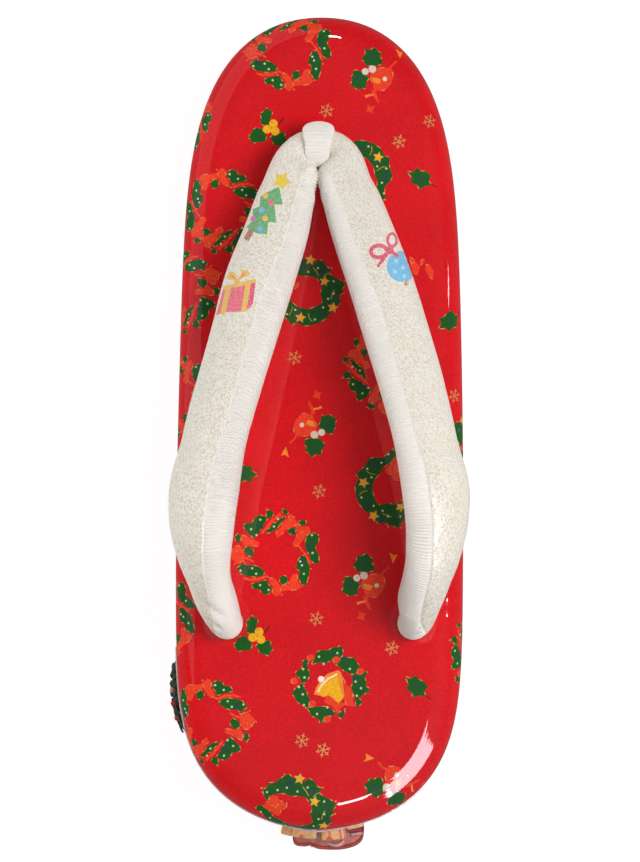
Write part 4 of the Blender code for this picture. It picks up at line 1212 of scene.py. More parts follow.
def strap_places_above(side):
    """Chart places well on one side of the strap's upper face, with where each is seen from above."""
    runs = side * np.arange(8.0, STRAP_END - TAIL_DEPTH, 0.8)
    runs, turns = np.meshgrid(runs, np.arange(-60.0, 190.0, 3.0))
    chart = np.stack([runs.ravel(), CHART_RADIUS * np.radians(turns.ravel())], axis=1)
    facing = strap_normals(chart)[:, 2] > 0.35
    return chart[facing], seen_plan(strap_points(chart[facing]))


def strap_normals(chart):
    """Outward normals of the strap's surface."""
    normals = normals_on(strap_points, chart, 0.15)
    outwards = strap_points(chart) - along_strap(np.clip(chart[:, 0], -STRAP_END, STRAP_END), MIDDLES)
    return normals * np.sign((normals * outwards).sum(axis=1))[:, None]


def move_on_strap(chart, wanted):
    """Moves on the strap's chart that bring places to where they are wanted in plan, by its slopes."""
    step = 0.2
    here = seen_plan(strap_points(chart))
    by_run = (seen_plan(strap_points(chart + (step, 0.0))) - here) / step
    by_turn = (seen_plan(strap_points(chart + (0.0, step))) - here) / step
    slope = by_run[:, 0] * by_turn[:, 1] - by_run[:, 1] * by_turn[:, 0]
    gap = wanted - here
    return np.stack([(gap[:, 0] * by_turn[:, 1] - gap[:, 1] * by_turn[:, 0]) / slope,
                     (by_run[:, 0] * gap[:, 1] - by_run[:, 1] * gap[:, 0]) / slope], axis=1)


def strap_laid(shapes, side):
    """Shapes given by the plan in which they are seen, moved to the strap's chart.

    What lies past the strap's visible edge goes on round its side by the slope of the nearest visible place.
    """
    charts, plans = strap_places_above(side)
    tree = tree_of(plans)
    moved = []
    for shape in shapes:
        wanted = np.array(shape.points)
        chart = np.array([charts[tree.find((x, s, 0.0))[1]] for x, s in wanted])
        moved.append(Shape(shape.ink, [tuple(p) for p in chart + move_on_strap(chart, wanted)]))
    return moved


def gift_motif():
    """A pink gift box with straw ribbons and a bow."""
    box = [(-5.9, -5.8), (2.1, -4.6), (4.4, -3.4), (5.1, -2.1), (6, 4.9), (1.2, 3.8), (-3.6, 2.5)]
    shapes = [Shape("pink", box), Shape("rose", [(5.1, -2.1), (6, 4.9), (4.7, 4.6), (3.9, -2.9)]),
              band("straw", [(-3.9, -5.5), (-2.1, 2.8)], 1.5), band("straw", [(2.3, -4.6), (3.8, 4.3)], 1.5),
              band("straw", [(-3.7, 2.3), (1.0, 3.3), (6.0, 4.5)], 1.1)]
    for side, x, y in [(-1, -1.4, 6.0), (1, 2.6, 6.6)]:
        petal = [(0.4, 4.4), (x - 1.2, y - 1.0), (x - 0.8, y + 1.0), (x + 0.9, y + 1.2), (x + 1.6, y - 0.2)]
        shapes.append(Shape("straw", petal if side < 0 else [(0.4, 4.4)] + petal[:0:-1]))
        shapes.append(band("orange", [(0.4, 4.6), (x, y + 0.1)], [0.3, 0.7]))
    shapes.append(dot("straw", 0.4, 4.4, 0.9))
    shapes.append(band("orange", [(-0.3, 4.0), (1.1, 4.3)], 0.3))
    return shapes


def tree_motif():
    """A green tree with a star, coloured balls and a trunk."""
    tiers = [(4.6, 7.2), (5.7, 1.8), (3.2, 2.0), (3.8, -3.5), (1.4, -3.2), (1.1, -6.9), (-2.0, -6.6),
             (-5.0, -4.7), (-2.9, -2.7), (-3.2, 0.5), (-1.2, 1.3), (-0.9, 4.2)]
    shapes = [band("trunk", [(-3.3, -5.0), (-4.2, -6.9), (-5.2, -8.5)], 1.7), Shape("mint", tiers)]
    for ink, x, y in [("straw", 0.6, 4.5), ("pink", 2.3, 2.4), ("sky", -0.5, 0.3), ("mauve", -3.0, -2.3),
                      ("straw", 0.5, -2.2), ("sky", -1.0, -5.3)]:
        shapes.append(dot(ink, x, y, 0.9))
    shapes.append(star("straw", 5.4, 8.9, 2.9, inner=0.55, lean=60.0))
    shapes.append(star("lemon", 5.4, 8.9, 2.4, inner=0.6, lean=60.0))
    return shapes


def ball_motif():
    """A blue ball with pale spots and a rose bow."""
    shapes = [dot("sky", 0.0, 0.0, 4.6, 24)]
    shapes += specks("foam", 0.6,
        [(-1.8, 1.6), (1.2, 2.6), (0.2, -0.4), (2.7, 0.4), (-2.2, -1.6), (0.6, -3.0)], 8)
    shapes += [ring_band("rose", -3.0, 7.8, 1.4, 1.9, 0.85), ring_band("rose", -6.9, 4.4, 2.4, 1.8, 1.2),
               dot("rose", -3.7, 4.8, 1.3),
               band("rose", [(-4.1, 4.4), (-5.6, 2.2), (-7.3, -0.1)], [1.2, 1.0, 0.9]),
               band("rose", [(-3.3, 4.6), (-2.0, 3.4), (-1.0, 2.8)], 1.0), dot("gold", 1.1, -4.9, 0.8)]
    return shapes


def seam_line(offset, first, last, step):
    """Chart places that follow the seam at an offset."""
    runs = np.arange(first, last, step)
    return list(zip(runs, seam_chart(runs) + offset))


def strap_inner(low, high):
    """Chart places for the strap's mesh: rows beside the seam, and a grid away from it."""
    points = []
    for offset in (-2.2, -1.2, -0.7, -0.35, 0.3, 0.7, 1.2, 2.2):
        points += seam_line(offset, -STRAP_END + TAIL_DEPTH, STRAP_END - TAIL_DEPTH, 1.5)
    for run in np.arange(-STRAP_END + 1.3, STRAP_END - 1.0, 1.5):
        seam = float(seam_chart(np.array([run]))[0])
        points += [(run, v) for v in np.arange(low + 1.9, high - 1.0, 2.1) if abs(v - seam) > 2.9]
    return points


def strap_cut():
    """The strap's chart cut along the seam and the motifs."""
    low, high = CHART_LOW, CHART_HIGH
    edge_runs = np.linspace(-STRAP_END, STRAP_END, 241)
    outline = [(run, low) for run in edge_runs] + [(STRAP_END, v) for v in np.linspace(low, high, 27)[1:-1]]
    outline += [(run, high) for run in edge_runs[::-1]]
    outline += [(-STRAP_END, v) for v in np.linspace(high, low, 27)[1:-1]]
    seam_runs = np.linspace(-STRAP_END, STRAP_END, 300)
    lining = [(run, low) for run in seam_runs[[0, -1]]] + list(zip(seam_runs, seam_chart(seam_runs)))[::-1]
    shapes = [Shape("ivory", outline), Shape("lining", lining)]
    for motif, x, station, side in [(gift_motif(), 24.9, 82.5, 1.0), (tree_motif(), 16.7, 57.4, 1.0),
                                    (ball_motif(), -24.3, 73.8, -1.0)]:
        shapes += strap_laid(laid(motif, x, station), side)
    return cut_chart(shapes, strap_inner(low, high))


def hanao_strap(cloth, lining):
    """The padded strap: one tube from rear hole to rear hole, folded under the front loop."""
    cut = strap_cut()
    bottom = np.flatnonzero(cut.chart[:, 1] < CHART_LOW + 1e-3)
    top = np.flatnonzero(cut.chart[:, 1] > CHART_HIGH - 1e-3)
    same = {int(i): int(bottom[np.argmin(np.abs(cut.chart[bottom, 0] - cut.chart[i, 0]))]) for i in top}
    body = Body()
    body.add_cut(cut, strap_points, strap_normals(cut.chart), same)
    body.add_faces(open_edges(body.faces), "lining")
    item = build("hanao_strap", body, cloth, lining, second="lining")
    paint(item, body)
    cloth_map = item.data.uv_layers.new(name="cloth")
    corners = np.empty(len(item.data.loops), dtype=np.int64)
    item.data.loops.foreach_get("vertex_index", corners)
    cloth_map.data.foreach_set("uv", (cut.chart[corners] * MM * 10.0).ravel())
    keep(item, "lame_cloth", "hanao_strap")


# ---- pieces made with Geometry Nodes ----

def add_node(tree, kind, inputs=None, **options):
    """A node with its options set, and its inputs given as values or linked from other sockets."""
    made = tree.nodes.new(kind)
    for name, value in options.items():
        setattr(made, name, value)
    for name, value in (inputs or {}).items():
        if isinstance(value, bpy.types.NodeSocket):
            tree.links.new(value, made.inputs[name])
        else:
            made.inputs[name].default_value = value
    return made


def new_tree(name, kind, inputs, outputs):
    """An empty node tree with named inputs, some with a value, and named outputs."""
    tree = bpy.data.node_groups.new(name, kind)
    for direction, sockets in (("INPUT", inputs), ("OUTPUT", outputs)):
        for label, holds, *value in sockets:
            socket = tree.interface.new_socket(label, in_out=direction, socket_type="NodeSocket" + holds)
            if value:
                socket.default_value = value[0]
    return tree, tree.nodes.new("NodeGroupInput").outputs, tree.nodes.new("NodeGroupOutput").inputs


def growing_tree(name, inputs):
    """An empty Geometry Nodes tree that takes a guide, the named inputs and a finish."""
    return new_tree(name, "GeometryNodeTree", [("Guide", "Geometry"), *inputs, ("Finish", "Material")],
                    [("Grown", "Geometry")])


def end_tree(tree, grown_shape, given, made):
    """Make a tree's shape a real mesh with its finish, and put it out."""
    real = add_node(tree, "GeometryNodeRealizeInstances", {"Geometry": grown_shape})
    finished = add_node(tree, "GeometryNodeSetMaterial", {
        "Geometry": real.outputs[0], "Material": given["Finish"]})
    tree.links.new(finished.outputs[0], made["Grown"])
    return tree


def grown(name, guide, tree, finish, values):
    """The plain mesh that a tree grows from a guide mesh; values go to the tree's named inputs."""
    seed = new_object(name + "_guide", guide)
    grower = seed.modifiers.new("grow", "NODES")
    grower.node_group = tree
    values = {"Finish": finish, **values}
    for item in tree.interface.items_tree:
        if item.item_type == "SOCKET" and item.in_out == "INPUT" and item.name in values:
            grower[item.identifier] = values[item.name]
    bpy.context.view_layer.update()
    ready = seed.evaluated_get(bpy.context.evaluated_depsgraph_get())
    mesh = bpy.data.meshes.new_from_object(ready)
    mesh.name = name
    bpy.data.objects.remove(seed, do_unlink=True)
    bpy.data.meshes.remove(guide)
    mesh.shade_smooth()
    return new_object(name, mesh)


def strands_of(name, lines, tree, finish, radius, sides):
    """Round strands along lines of points."""
    return grown(name, line_guide(name, lines), tree, finish, {"Radius": radius * MM, "Sides": sides})


def scattered(name, lump, aims, tree, finish, least, most, spin, seed, angle=None):
    """Copies of a small body on (place, out, way) aims, as one piece."""
    shape = build(name + "_shape", lump, finish, angle=angle)
    item = grown(name, point_guide(name, *zip(*aims)), tree, finish,
                 {"Shape": shape, "Least size": least, "Most size": most, "Spin": spin, "Seed": seed})
    bpy.data.objects.remove(shape, do_unlink=True)
    return item


def strand_tree():
    """Grows a round closed strand along every line of a guide."""
    tree, given, made = growing_tree("strands", [("Radius", "Float"), ("Sides", "Int")])
    lines = add_node(tree, "GeometryNodeMeshToCurve", {"Mesh": given["Guide"]})
    section = add_node(tree, "GeometryNodeCurvePrimitiveCircle",
                       {"Radius": given["Radius"], "Resolution": given["Sides"]})
    strands = add_node(tree, "GeometryNodeCurveToMesh", {
        "Curve": lines.outputs["Curve"], "Profile Curve": section.outputs["Curve"], "Fill Caps": True})
    return end_tree(tree, strands.outputs["Mesh"], given, made)


def line_guide(name, lines):
    """A mesh of separate lines of points."""
    points, edges = [], []
    for line in lines:
        first = len(points)
        points += [tuple(MM * c for c in p) for p in line]
        edges += [(first + k, first + k + 1) for k in range(len(line) - 1)]
    mesh = bpy.data.meshes.new(name)
    mesh.from_pydata(points, edges, [])
    return mesh


RIB_PITCH = 0.71
RIB_RADIUS = 0.33
RIB_SINK = 0.1
RIB_SIDES = 5
RIB_STATION = 42.0             # where the lining's ribs begin behind the strap's fold
RIB_START = -118.0             # degrees round the section


def lining_ribs(tree, finish):
    """The lining's fine cross ribs, from its hidden lower edge to the seam."""
    low = CHART_RADIUS * math.radians(RIB_START)
    lines = []
    for run in np.arange(run_at(RIB_STATION), STRAP_END - TAIL_DEPTH + 3.5, RIB_PITCH):
        for side in (-1.0, 1.0):
            high = float(seam_chart(np.array([side * run]))[0]) - 0.45
            count = max(4, int((high - low) / 1.0))
            chart = np.stack([np.full(count, side * run), np.linspace(low, high, count)], axis=1)
            lines.append(strap_points(chart) - RIB_SINK * strap_normals(chart))
    keep(strands_of("lining_ribs", lines, tree, finish, RIB_RADIUS, RIB_SIDES), "ribbed_lining")


# Front loop: a band folded over the strap, both legs down the front hole; ahead is towards the toe
LOOP_AHEAD = [2.1, 2.1, 2.3, 3.7, 5.0, 5.2, 4.2, 2.0, -1.0, -4.0, -5.8, -5.6, -4.2, -2.4, -2.1, -2.1]
LOOP_RISE = [-TAIL_DEPTH, -5.0, -0.5, 2.8, 6.2, 9.6, 13.0, 14.85, 14.95, 13.2, 9.8, 6.2, 2.8, -0.5, -5.0,
             -TAIL_DEPTH]
LOOP_WIDE = [3.4, 3.4, 3.4, 3.5, 3.9, 4.3, 4.5, 4.0, 3.6, 3.3, 2.2, 1.0, 2.2, 3.4, 3.4, 3.4]
LOOP_ASIDE = [0.0, 0.0, 0.0, 0.0, 0.15, 0.2, 0.2, 0.25, 0.35, 0.6, 0.8, 0.6, 0.3, 0.0, 0.0, 0.0]
LOOP_THICK = [1.3, 1.3, 1.4, 1.6, 1.8, 1.9, 1.8, 1.5, 1.3, 1.0, 0.7, 0.6, 1.0, 1.3, 1.3, 1.3]
LOOP_SIDES = 28
LOOP_RIBS = slice(10, -14)     # which of its rings have a rib: those above the hole


def loop_sections(step):
    """Middles, outward ways, half widths and half thicknesses along the front loop."""
    base = float(top_height(HOLES[0].station))
    points = np.array([(HOLES[0].station - a, base + r) for a, r in zip(LOOP_AHEAD, LOOP_RISE)])
    knots = np.concatenate([[0.0], np.cumsum(np.hypot(*np.diff(points, axis=0).T))])
    runs = np.arange(0.0, knots[-1], step)
    stations, heights = (smooth_through(knots, points[:, k])(runs) for k in (0, 1))
    middle = evened(in_frame(np.stack([0.0 * runs, stations], axis=1), heights), 2)
    out = unit(np.cross((1.0, 0.0, 0.0), np.gradient(middle, axis=0)))
    middle[:, 0] += smooth_through(knots, LOOP_ASIDE)(runs)
    return middle, out, smooth_through(knots, LOOP_WIDE)(runs), smooth_through(knots, LOOP_THICK)(runs)


def front_loop(finish, tree):
    """The ribbed band that holds the strap's fold down, with its own cross ribs."""
    middle, out, wide, thick = loop_sections(0.7)
    body = Body()
    rings, lines = [], []
    turns = even_turns(LOOP_SIDES)
    outer = np.sin(turns) > -0.01
    for m, o, w, t in zip(middle, out, wide, thick):
        aside, lift = w * np.cos(turns), t * np.sin(turns)
        rings.append(body.add_points(m + np.outer(aside, (1.0, 0.0, 0.0)) + np.outer(lift, o)))
        lines.append(m + np.outer(0.99 * aside[outer], (1.0, 0.0, 0.0)) + np.outer(lift[outer] - 0.14, o))
    body.skin(rings)
    keep(build("front_loop", body, finish, angle=50), "ribbed_lining", "front_loop")
    ribs = strands_of("front_loop_ribs", lines[LOOP_RIBS], tree, finish, RIB_RADIUS, RIB_SIDES)
    keep(ribs, "ribbed_lining")


# ---- the vinyl's edge, pale partly as a painted highlight, and the moulded ornaments ----

def vinyl_edge(tree, finish):
    """The rolled edge of the vinyl round the heel, with a low peak where its ends meet; its pale colour is
    partly the vinyl's own and partly a painted highlight along the rim.
    """
    arcs = np.arange(arc_of(186.0), -arc_of(226.0), -0.8)
    out = 0.15 + 0.5 * np.clip(1.0 - np.abs(arcs - 0.9) / 9.0, 0.0, None)
    places, _ = rim(around_at(arcs), -out)
    line = in_frame(places, top_height(places[:, 1]) - SIDE_DROP)
    keep(strands_of("vinyl_edge", [line], tree, finish, 0.32, 8), "printed_cover")


# Wreath on the outer wall, as in the CAD: middle, ring radius, band and reach from the wall
WREATH_ARC = arc_of(201.4)
WREATH_HEIGHT = 22.5
WREATH_RADIUS = 7.6
WREATH_OUT = 3.6
BERRY_TURNS = [97, 129, 205, 228, 300, 318]
LEAF_COUNT = 88


def leaf_blade():
    """A small closed holly leaf: spiked outline, raised at the mid rib, tip along +Y."""
    side = [(0.0, 0.0), (0.32, 0.3), (0.42, 0.75), (0.26, 1.0), (0.5, 1.4), (0.28, 1.7), (0.4, 2.1),
        (0.16, 2.3), (0.0, 2.9)]
    body = Body()
    rows = []
    for x, y in side:
        bend = 0.16 * y - 0.11 * y * y
        rows.append(body.add_points([(-1.55 * x, y, bend - 0.2 * x), (0.0, y, bend + 0.22), (1.55 * x, y,
            bend - 0.2 * x), (0.0, y, bend - 0.25)]))
    body.skin(rows, ends=False)
    return body


def between(tree, least, most, seed):
    """A seeded random number between two values, for each point."""
    return add_node(tree, "FunctionNodeRandomValue", {2: least, 3: most, "Seed": seed},
                    data_type="FLOAT").outputs[1]


def guide_aim(tree, name):
    """A direction that each point of a guide carries."""
    return add_node(tree, "GeometryNodeInputNamedAttribute", {"Name": name},
                    data_type="FLOAT_VECTOR").outputs[0]


def scatter_tree():
    """Sets a shape on every point of a guide, along the guide's aim, with a seeded spin and size."""
    tree, given, made = growing_tree("scatter", [
        ("Shape", "Object"), ("Least size", "Float"), ("Most size", "Float"), ("Spin", "Float"),
        ("Seed", "Int")])
    shape = add_node(tree, "GeometryNodeObjectInfo", {"Object": given["Shape"]})
    up = add_node(tree, "FunctionNodeAlignEulerToVector", {"Vector": guide_aim(tree, "out")}, axis="Z")
    turned = add_node(tree, "FunctionNodeAlignEulerToVector", {
        "Rotation": up.outputs[0], "Vector": guide_aim(tree, "way")}, axis="Y", pivot_axis="Z")
    back = add_node(tree, "ShaderNodeMath", {0: given["Spin"], 1: -1.0}, operation="MULTIPLY")
    spin = between(tree, back.outputs[0], given["Spin"], given["Seed"])
    about = add_node(tree, "ShaderNodeCombineXYZ", {"Z": spin})
    rotated = add_node(tree, "FunctionNodeRotateEuler", {
        "Rotation": turned.outputs[0], "Rotate By": about.outputs[0]}, rotation_type="EULER", space="LOCAL")
    placed = add_node(tree, "GeometryNodeInstanceOnPoints", {
        "Points": given["Guide"], "Instance": shape.outputs["Geometry"], "Rotation": rotated.outputs[0],
        "Scale": between(tree, given["Least size"], given["Most size"], given["Seed"])})
    return end_tree(tree, placed.outputs[0], given, made)


def point_guide(name, places, outs, ways):
    """A mesh of loose points that carry their outward and forward directions."""
    mesh = bpy.data.meshes.new(name)
    mesh.from_pydata([tuple(MM * c for c in p) for p in places], [], [])
    for label, vectors in (("out", outs), ("way", ways)):
        values = mesh.attributes.new(label, "FLOAT_VECTOR", "POINT")
        values.data.foreach_set("vector", np.array(vectors, dtype=float).ravel())
    return mesh


def wall_way(arc, height, swing):
    """Outward direction of the wall at a place, and a direction in the wall at an angle from along +arc."""
    here, aside, above = (on_wall(*spot) for spot in [(arc, height, 0.0), (arc + 0.5, height, 0.0),
                                                      (arc, height + 0.5, 0.0)])
    out = unit(on_wall(arc, height, 1.0) - here)
    return out, unit(unit(aside - here) * math.cos(swing) + unit(above - here) * math.sin(swing))


def on_wreath(turn, reach, out):
    """A point at a turn and distance from the wreath's middle, a distance out from the wall."""
    return on_wall(WREATH_ARC + reach * np.cos(turn), WREATH_HEIGHT + reach * np.sin(turn), out)


def wreath_ring(finish):
    """The solid ring under the wreath's leaves."""
    body = Body()
    rings = []
    for turn in even_turns(56):
        band_half = 2.0 + 0.35 * math.sin(9.0 * turn) + 0.2 * math.sin(5.0 * turn + 1.0)
        tilts = even_turns(14)
        out = 0.5 * (WREATH_OUT + 0.1 + 0.3 * math.sin(7.0 * turn)) * (1.0 + np.sin(tilts))
        rings.append(body.add_points(on_wreath(turn, WREATH_RADIUS + band_half * np.cos(tilts), out)))
    body.skin(rings + rings[:1], ends=False)
    keep(build("wreath_ring", body, finish), "green_resin", "wreath_ornament")


def wreath_leaves(tree, finish):
    """The wreath's overlapping holly leaves, in five rows."""
    aims = []
    for k in range(LEAF_COUNT):
        turn = FULL_TURN * k / LEAF_COUNT
        row = (k * 2) % 5 - 2
        radius = WREATH_RADIUS + 0.85 * row - 0.3
        arc, height = WREATH_ARC + radius * math.cos(turn), WREATH_HEIGHT + radius * math.sin(turn)
        out, way = wall_way(arc, height, turn + math.radians(65.0 - 38.0 * row))
        radial = wall_way(arc, height, turn)[1]
        aims.append((on_wall(arc, height, WREATH_OUT + 0.3 * math.cos(turn) - 0.35 * abs(row)),
                     unit(out + 0.3 * row * radial - 0.12 * way), way))
    leaf = leaf_blade()
    leaves = scattered("wreath_leaves", leaf, aims, tree, finish, 1.05, 1.4, spin=0.45, seed=11, angle=40)
    keep(leaves, "green_resin")


def ball(body, middle, radius, rings=7, sides=12, squash=1.0):
    """A closed round lump."""
    loops = []
    turns = even_turns(sides)
    for tilt in [math.pi * k / rings for k in range(1, rings)]:
        loops.append(body.add_points(np.array(middle) + radius * np.stack(
            [math.sin(tilt) * np.cos(turns), math.sin(tilt) * np.sin(turns),
             np.full(sides, squash * math.cos(tilt))], axis=1)))
    body.skin(loops, ends=False)
    rise = np.array([0.0, 0.0, squash * radius])
    top, bottom = body.add_points([np.array(middle) + rise, np.array(middle) - rise])
    body.add_faces([(top, loops[0][k], loops[0][(k + 1) % sides]) for k in range(sides)])
    body.add_faces([(bottom, loops[-1][(k + 1) % sides], loops[-1][k]) for k in range(sides)])


def steps_along(path):
    """From each point's neighbour before to its neighbour after, along a path."""
    return np.vstack([path[1:], path[-1:]]) - np.vstack([path[:1], path[:-1]])


def wall_sweep(body, path, halves, sides=10):
    """A closed rounded bar through (arc, height, out) places; halves are its half sizes across and out."""
    path = np.array(path, dtype=float)
    halves = np.broadcast_to(np.array(halves, dtype=float), (len(path), 2))
    rings = []
    for (arc, height, out), step, (half, deep) in zip(path, steps_along(path)[:, :2], halves):
        along = unit(step) if np.hypot(*step) > 1e-6 else np.array([0.0, 1.0])
        turns = even_turns(sides)
        arcs, heights = np.outer((-half * along[1], half * along[0]), np.cos(turns))
        rings.append(body.add_points(on_wall(arc + arcs, height + heights, out + deep * np.sin(turns))))
    body.skin(rings)


def wreath_trim(red, pale):
    """Berries and bow of the wreath, and patches of snow on it."""
    body = Body()
    for turn in np.radians(BERRY_TURNS):
        ball(body, on_wreath(turn, WREATH_RADIUS + 0.9, WREATH_OUT - 0.35), 1.05)
    low = WREATH_HEIGHT - WREATH_RADIUS
    for side in (-1.0, 1.0):
        loop = [(WREATH_ARC + side * (2.4 - 2.2 * math.cos(t)),
                 low + 0.4 + 1.5 * math.sin(t) * (0.6 - 0.4 * math.cos(t)), WREATH_OUT + 0.2)
                for t in np.linspace(0.0, FULL_TURN, 17)]
        wall_sweep(body, loop, (0.45, 0.55))
        tail = [(WREATH_ARC + side * (0.3 + 0.75 * k), low - 0.2 - 0.75 * k, WREATH_OUT - 0.1 * k)
                for k in range(5)]
        wall_sweep(body, tail, (0.6, 0.3))
    ball(body, on_wall(WREATH_ARC, low + 0.3, WREATH_OUT + 0.2), 0.95)
    keep(build("wreath_berries_bow", body, red), "red_resin")
    body = Body()
    for turn, reach, size in [(72, 9.0, 1.0), (168, 8.2, 0.8), (290, 8.6, 0.8)]:
        ball(body, on_wreath(math.radians(turn), reach, WREATH_OUT - 0.5), size, squash=0.7)
    keep(build("wreath_snow", body, pale), "pale_resin")


# Sleigh and gifts on the heel's wall, as in the CAD
SLEIGH_LOW = 13.0
SLEIGH_HIGH = 20.5
SLEIGH_OUT = 10.0
SLEIGH_ARCS = [-12.2, -11.4, -10.7, -9.4, -8.0, -5.4, -1.6, 0.8, 1.9, 2.5, 4.1, 5.9, 6.7, 7.4, 7.8]
SLEIGH_REACHES = [0.5, 0.74, 0.85, 0.94, 0.98, 1.0, 0.97, 0.94, 0.89, 0.86, 0.9, 0.91, 0.88, 0.76, 0.56]
KEEL_ARCS = [-12.2, -11.4, -8.5, -4.3, 0.0, 4.0, 6.6, 7.8]
KEEL_LIFTS = [0.55, 0.3, 0.08, 0.0, 0.0, 0.06, 0.2, 0.4]
SLEIGH_PANELS = [(-8.2, 1.9), (-3.6, 2.0), (5.0, 1.4)]      # arc of the middle, half width
Gift = namedtuple("Gift", "name start end tall out lid")
GIFTS = [
    Gift("gift_box_outer", 7.4, 11.0, 6.5, 5.4, 1.5),
    Gift("gift_box_tall", 0.9, 7.6, 9.0, 5.0, 2.0),
    Gift("gift_box_square", -7.1, -0.3, 7.6, 5.6, 1.6),
    Gift("gift_box_inner", -12.4, -7.4, 4.6, 3.8, 1.2),
]
GIFT_FLOOR = SLEIGH_HIGH + SEAT_GAP
BLOCK_EDGE = 0.7


DriftRow = namedtuple("DriftRow", "arc height out half deep")
DRIFT = [DriftRow(*row) for row in [
    (-1.3, 21.2, 6.9, 0.3, 0.3), (-1.9, 21.3, 7.6, 0.35, 0.42), (-2.7, 21.35, 8.15, 0.4, 0.5),
    (-3.6, 21.4, 8.4, 0.45, 0.55), (-4.5, 21.4, 8.35, 0.45, 0.6), (-5.3, 21.35, 8.0, 0.45, 0.62),
    (-5.9, 21.3, 7.4, 0.4, 0.5), (-6.2, 21.2, 6.9, 0.3, 0.35)]]


def sleigh_out(arc):
    """Reach of the sleigh's side from the wall."""
    return SLEIGH_OUT * smooth_through(SLEIGH_ARCS, SLEIGH_REACHES)(arc)


def sleigh_section(arc):
    """Heights and reaches round the tub's side, lip and deck at an arc."""
    out = float(sleigh_out(arc))
    high = SLEIGH_HIGH
    low = SLEIGH_LOW + float(smooth_through(KEEL_ARCS, KEEL_LIFTS)(arc)) * (high - SLEIGH_LOW)
    rise = 0.25 * (high - low)
    section = [(low + 0.8, 0.0), (low + 0.2, 0.25 * out), (low, 0.5 * out), (low + 0.35 * rise, 0.72 * out),
               (low + rise, 0.87 * out), (low + 2.1 * rise, 0.95 * out), (high - 1.4, 0.95 * out),
               (high - 0.9, out - 0.1), (high - 0.2, out), (high + 0.5, out - 0.25), (high + 0.75, out - 0.7),
               (high + 0.5, out - 1.1), (high, out - 1.25), (high, 0.4 * out), (high, 0.0)]
    return np.array(section).T


def sleigh_body(finish):
    """The sleigh's tub: bulging side, rolled lip, the deck that the gifts stand on, and carved panels."""
    body = Body()
    arcs = np.concatenate([[-12.2, -12.0, -11.7], np.arange(-11.2, 7.0, 0.45), [7.2, 7.5, 7.7, 7.8]])
    body.skin([body.add_points(on_wall(arc, *sleigh_section(arc))) for arc in arcs])
    for middle, wide in SLEIGH_PANELS:
        panel = [(middle + wide * math.cos(t), 17.2 + 1.35 * math.sin(t),
                  0.955 * float(sleigh_out(middle + wide * math.cos(t))))
                 for t in np.linspace(0.0, FULL_TURN, 21)]
        wall_sweep(body, panel, (0.22, 0.3), sides=8)
    seam = [(2.2, height, 0.9 * SLEIGH_OUT - 0.35) for height in np.arange(14.6, 20.6, 0.6)]
    wall_sweep(body, seam, (0.3, 0.4), sides=8)
    keep(build("heel_sleigh", body, finish, angle=50), "rosewood_resin", "heel_sleigh")


def sleigh_trim(crimson, pale):
    """The sleigh's runner, knob and seat roll in crimson; its pale seat edge, scroll and snow drift."""
    body = Body()
    runner = [(arc, SLEIGH_LOW + 0.5 + 0.028 * (arc + 2.5) ** 2, 0.93 * float(sleigh_out(arc)))
              for arc in np.arange(-10.6, 7.0, 0.7)]
    wall_sweep(body, runner, (0.5, 0.5))
    knob = [(arc, 14.6, SLEIGH_OUT + 0.3 - 0.12 * (arc + 2.9) ** 2) for arc in np.arange(-4.4, -1.3, 0.35)]
    wall_sweep(body, knob, (0.8, 0.45))
    roll = [(arc, SLEIGH_HIGH + 0.9, 4.55 - 0.09 * (arc + 7.4)) for arc in np.arange(-11.7, -7.3, 0.5)]
    wall_sweep(body, roll, (0.7, 0.75))
    keep(build("sleigh_runner_roll", body, crimson), "red_resin")
    body = Body()
    seat = [(arc, SLEIGH_HIGH + 0.15, 5.95 - 0.08 * (arc + 7.4)) for arc in np.arange(-11.4, -7.8, 0.4)]
    wall_sweep(body, seat, (0.45, 0.6))
    scroll = [(2.1 - 0.25 * math.sin(3.0 * t), 20.9 + 0.35 * math.sin(2.0 * t) - 0.5 * t, 6.0 + 1.05 * t)
              for t in np.linspace(0.0, 2.2, 10)]
    wall_sweep(body, scroll, (0.33, 0.4))
    ball(body, on_wall(2.15, 21.0, 6.1), 0.6)
    wall_sweep(body, [row[:3] for row in DRIFT], [row[3:] for row in DRIFT])
    keep(build("sleigh_scroll_drift", body, pale), "pale_resin")


def sleigh_snow(tree, pale):
    """Snow that hangs from the sleigh's side in soft lumps that run together."""
    aims = []
    for k, arc in enumerate(np.arange(-6.6, -0.8, 0.4)):
        for step in range(3 if k % 4 else 5):
            aims.append((on_wall(arc, 19.4 - 0.62 * step, 0.985 * float(sleigh_out(arc)) - 0.5),
                         *wall_way(arc, 18.0, 0.0)))
    lump = Body()
    ball(lump, (0.0, 0.0, 0.0), 0.62, rings=6, sides=10)
    keep(scattered("sleigh_snow", lump, aims, tree, pale, 0.7, 1.2, spin=3.0, seed=5), "pale_resin")


def wall_block(body, start, end, low, high, out):
    """A block with rounded edges, bent to the platform's wall."""
    edge = BLOCK_EDGE
    turns = np.linspace(0.0, 0.5 * math.pi, 4)
    span = end - start - 2.0 * edge
    count = max(2, int(span / 0.8))
    ends = [(edge * (1.0 - math.sin(t)), edge * (1.0 - math.cos(t))) for t in turns[::-1]]
    steps = [(start + shift, ease) for shift, ease in ends]
    steps += [(start + edge + span * k / count, 0.0) for k in range(1, count)]
    steps += [(end - shift, ease) for shift, ease in ends[::-1]]
    rings = []
    for arc, ease in steps:
        corner = max(edge - ease, 0.1 * edge)
        rise = ease + corner * (1.0 - np.cos(turns))
        front = out - ease - corner * (1.0 - np.sin(turns))
        heights = np.concatenate([[low + ease], low + rise, high - rise[::-1], [high - ease]])
        outs = np.concatenate([[0.0], front, front[::-1], [0.0]])
        rings.append(body.add_points(on_wall(arc, heights, outs)))
    body.skin(rings)


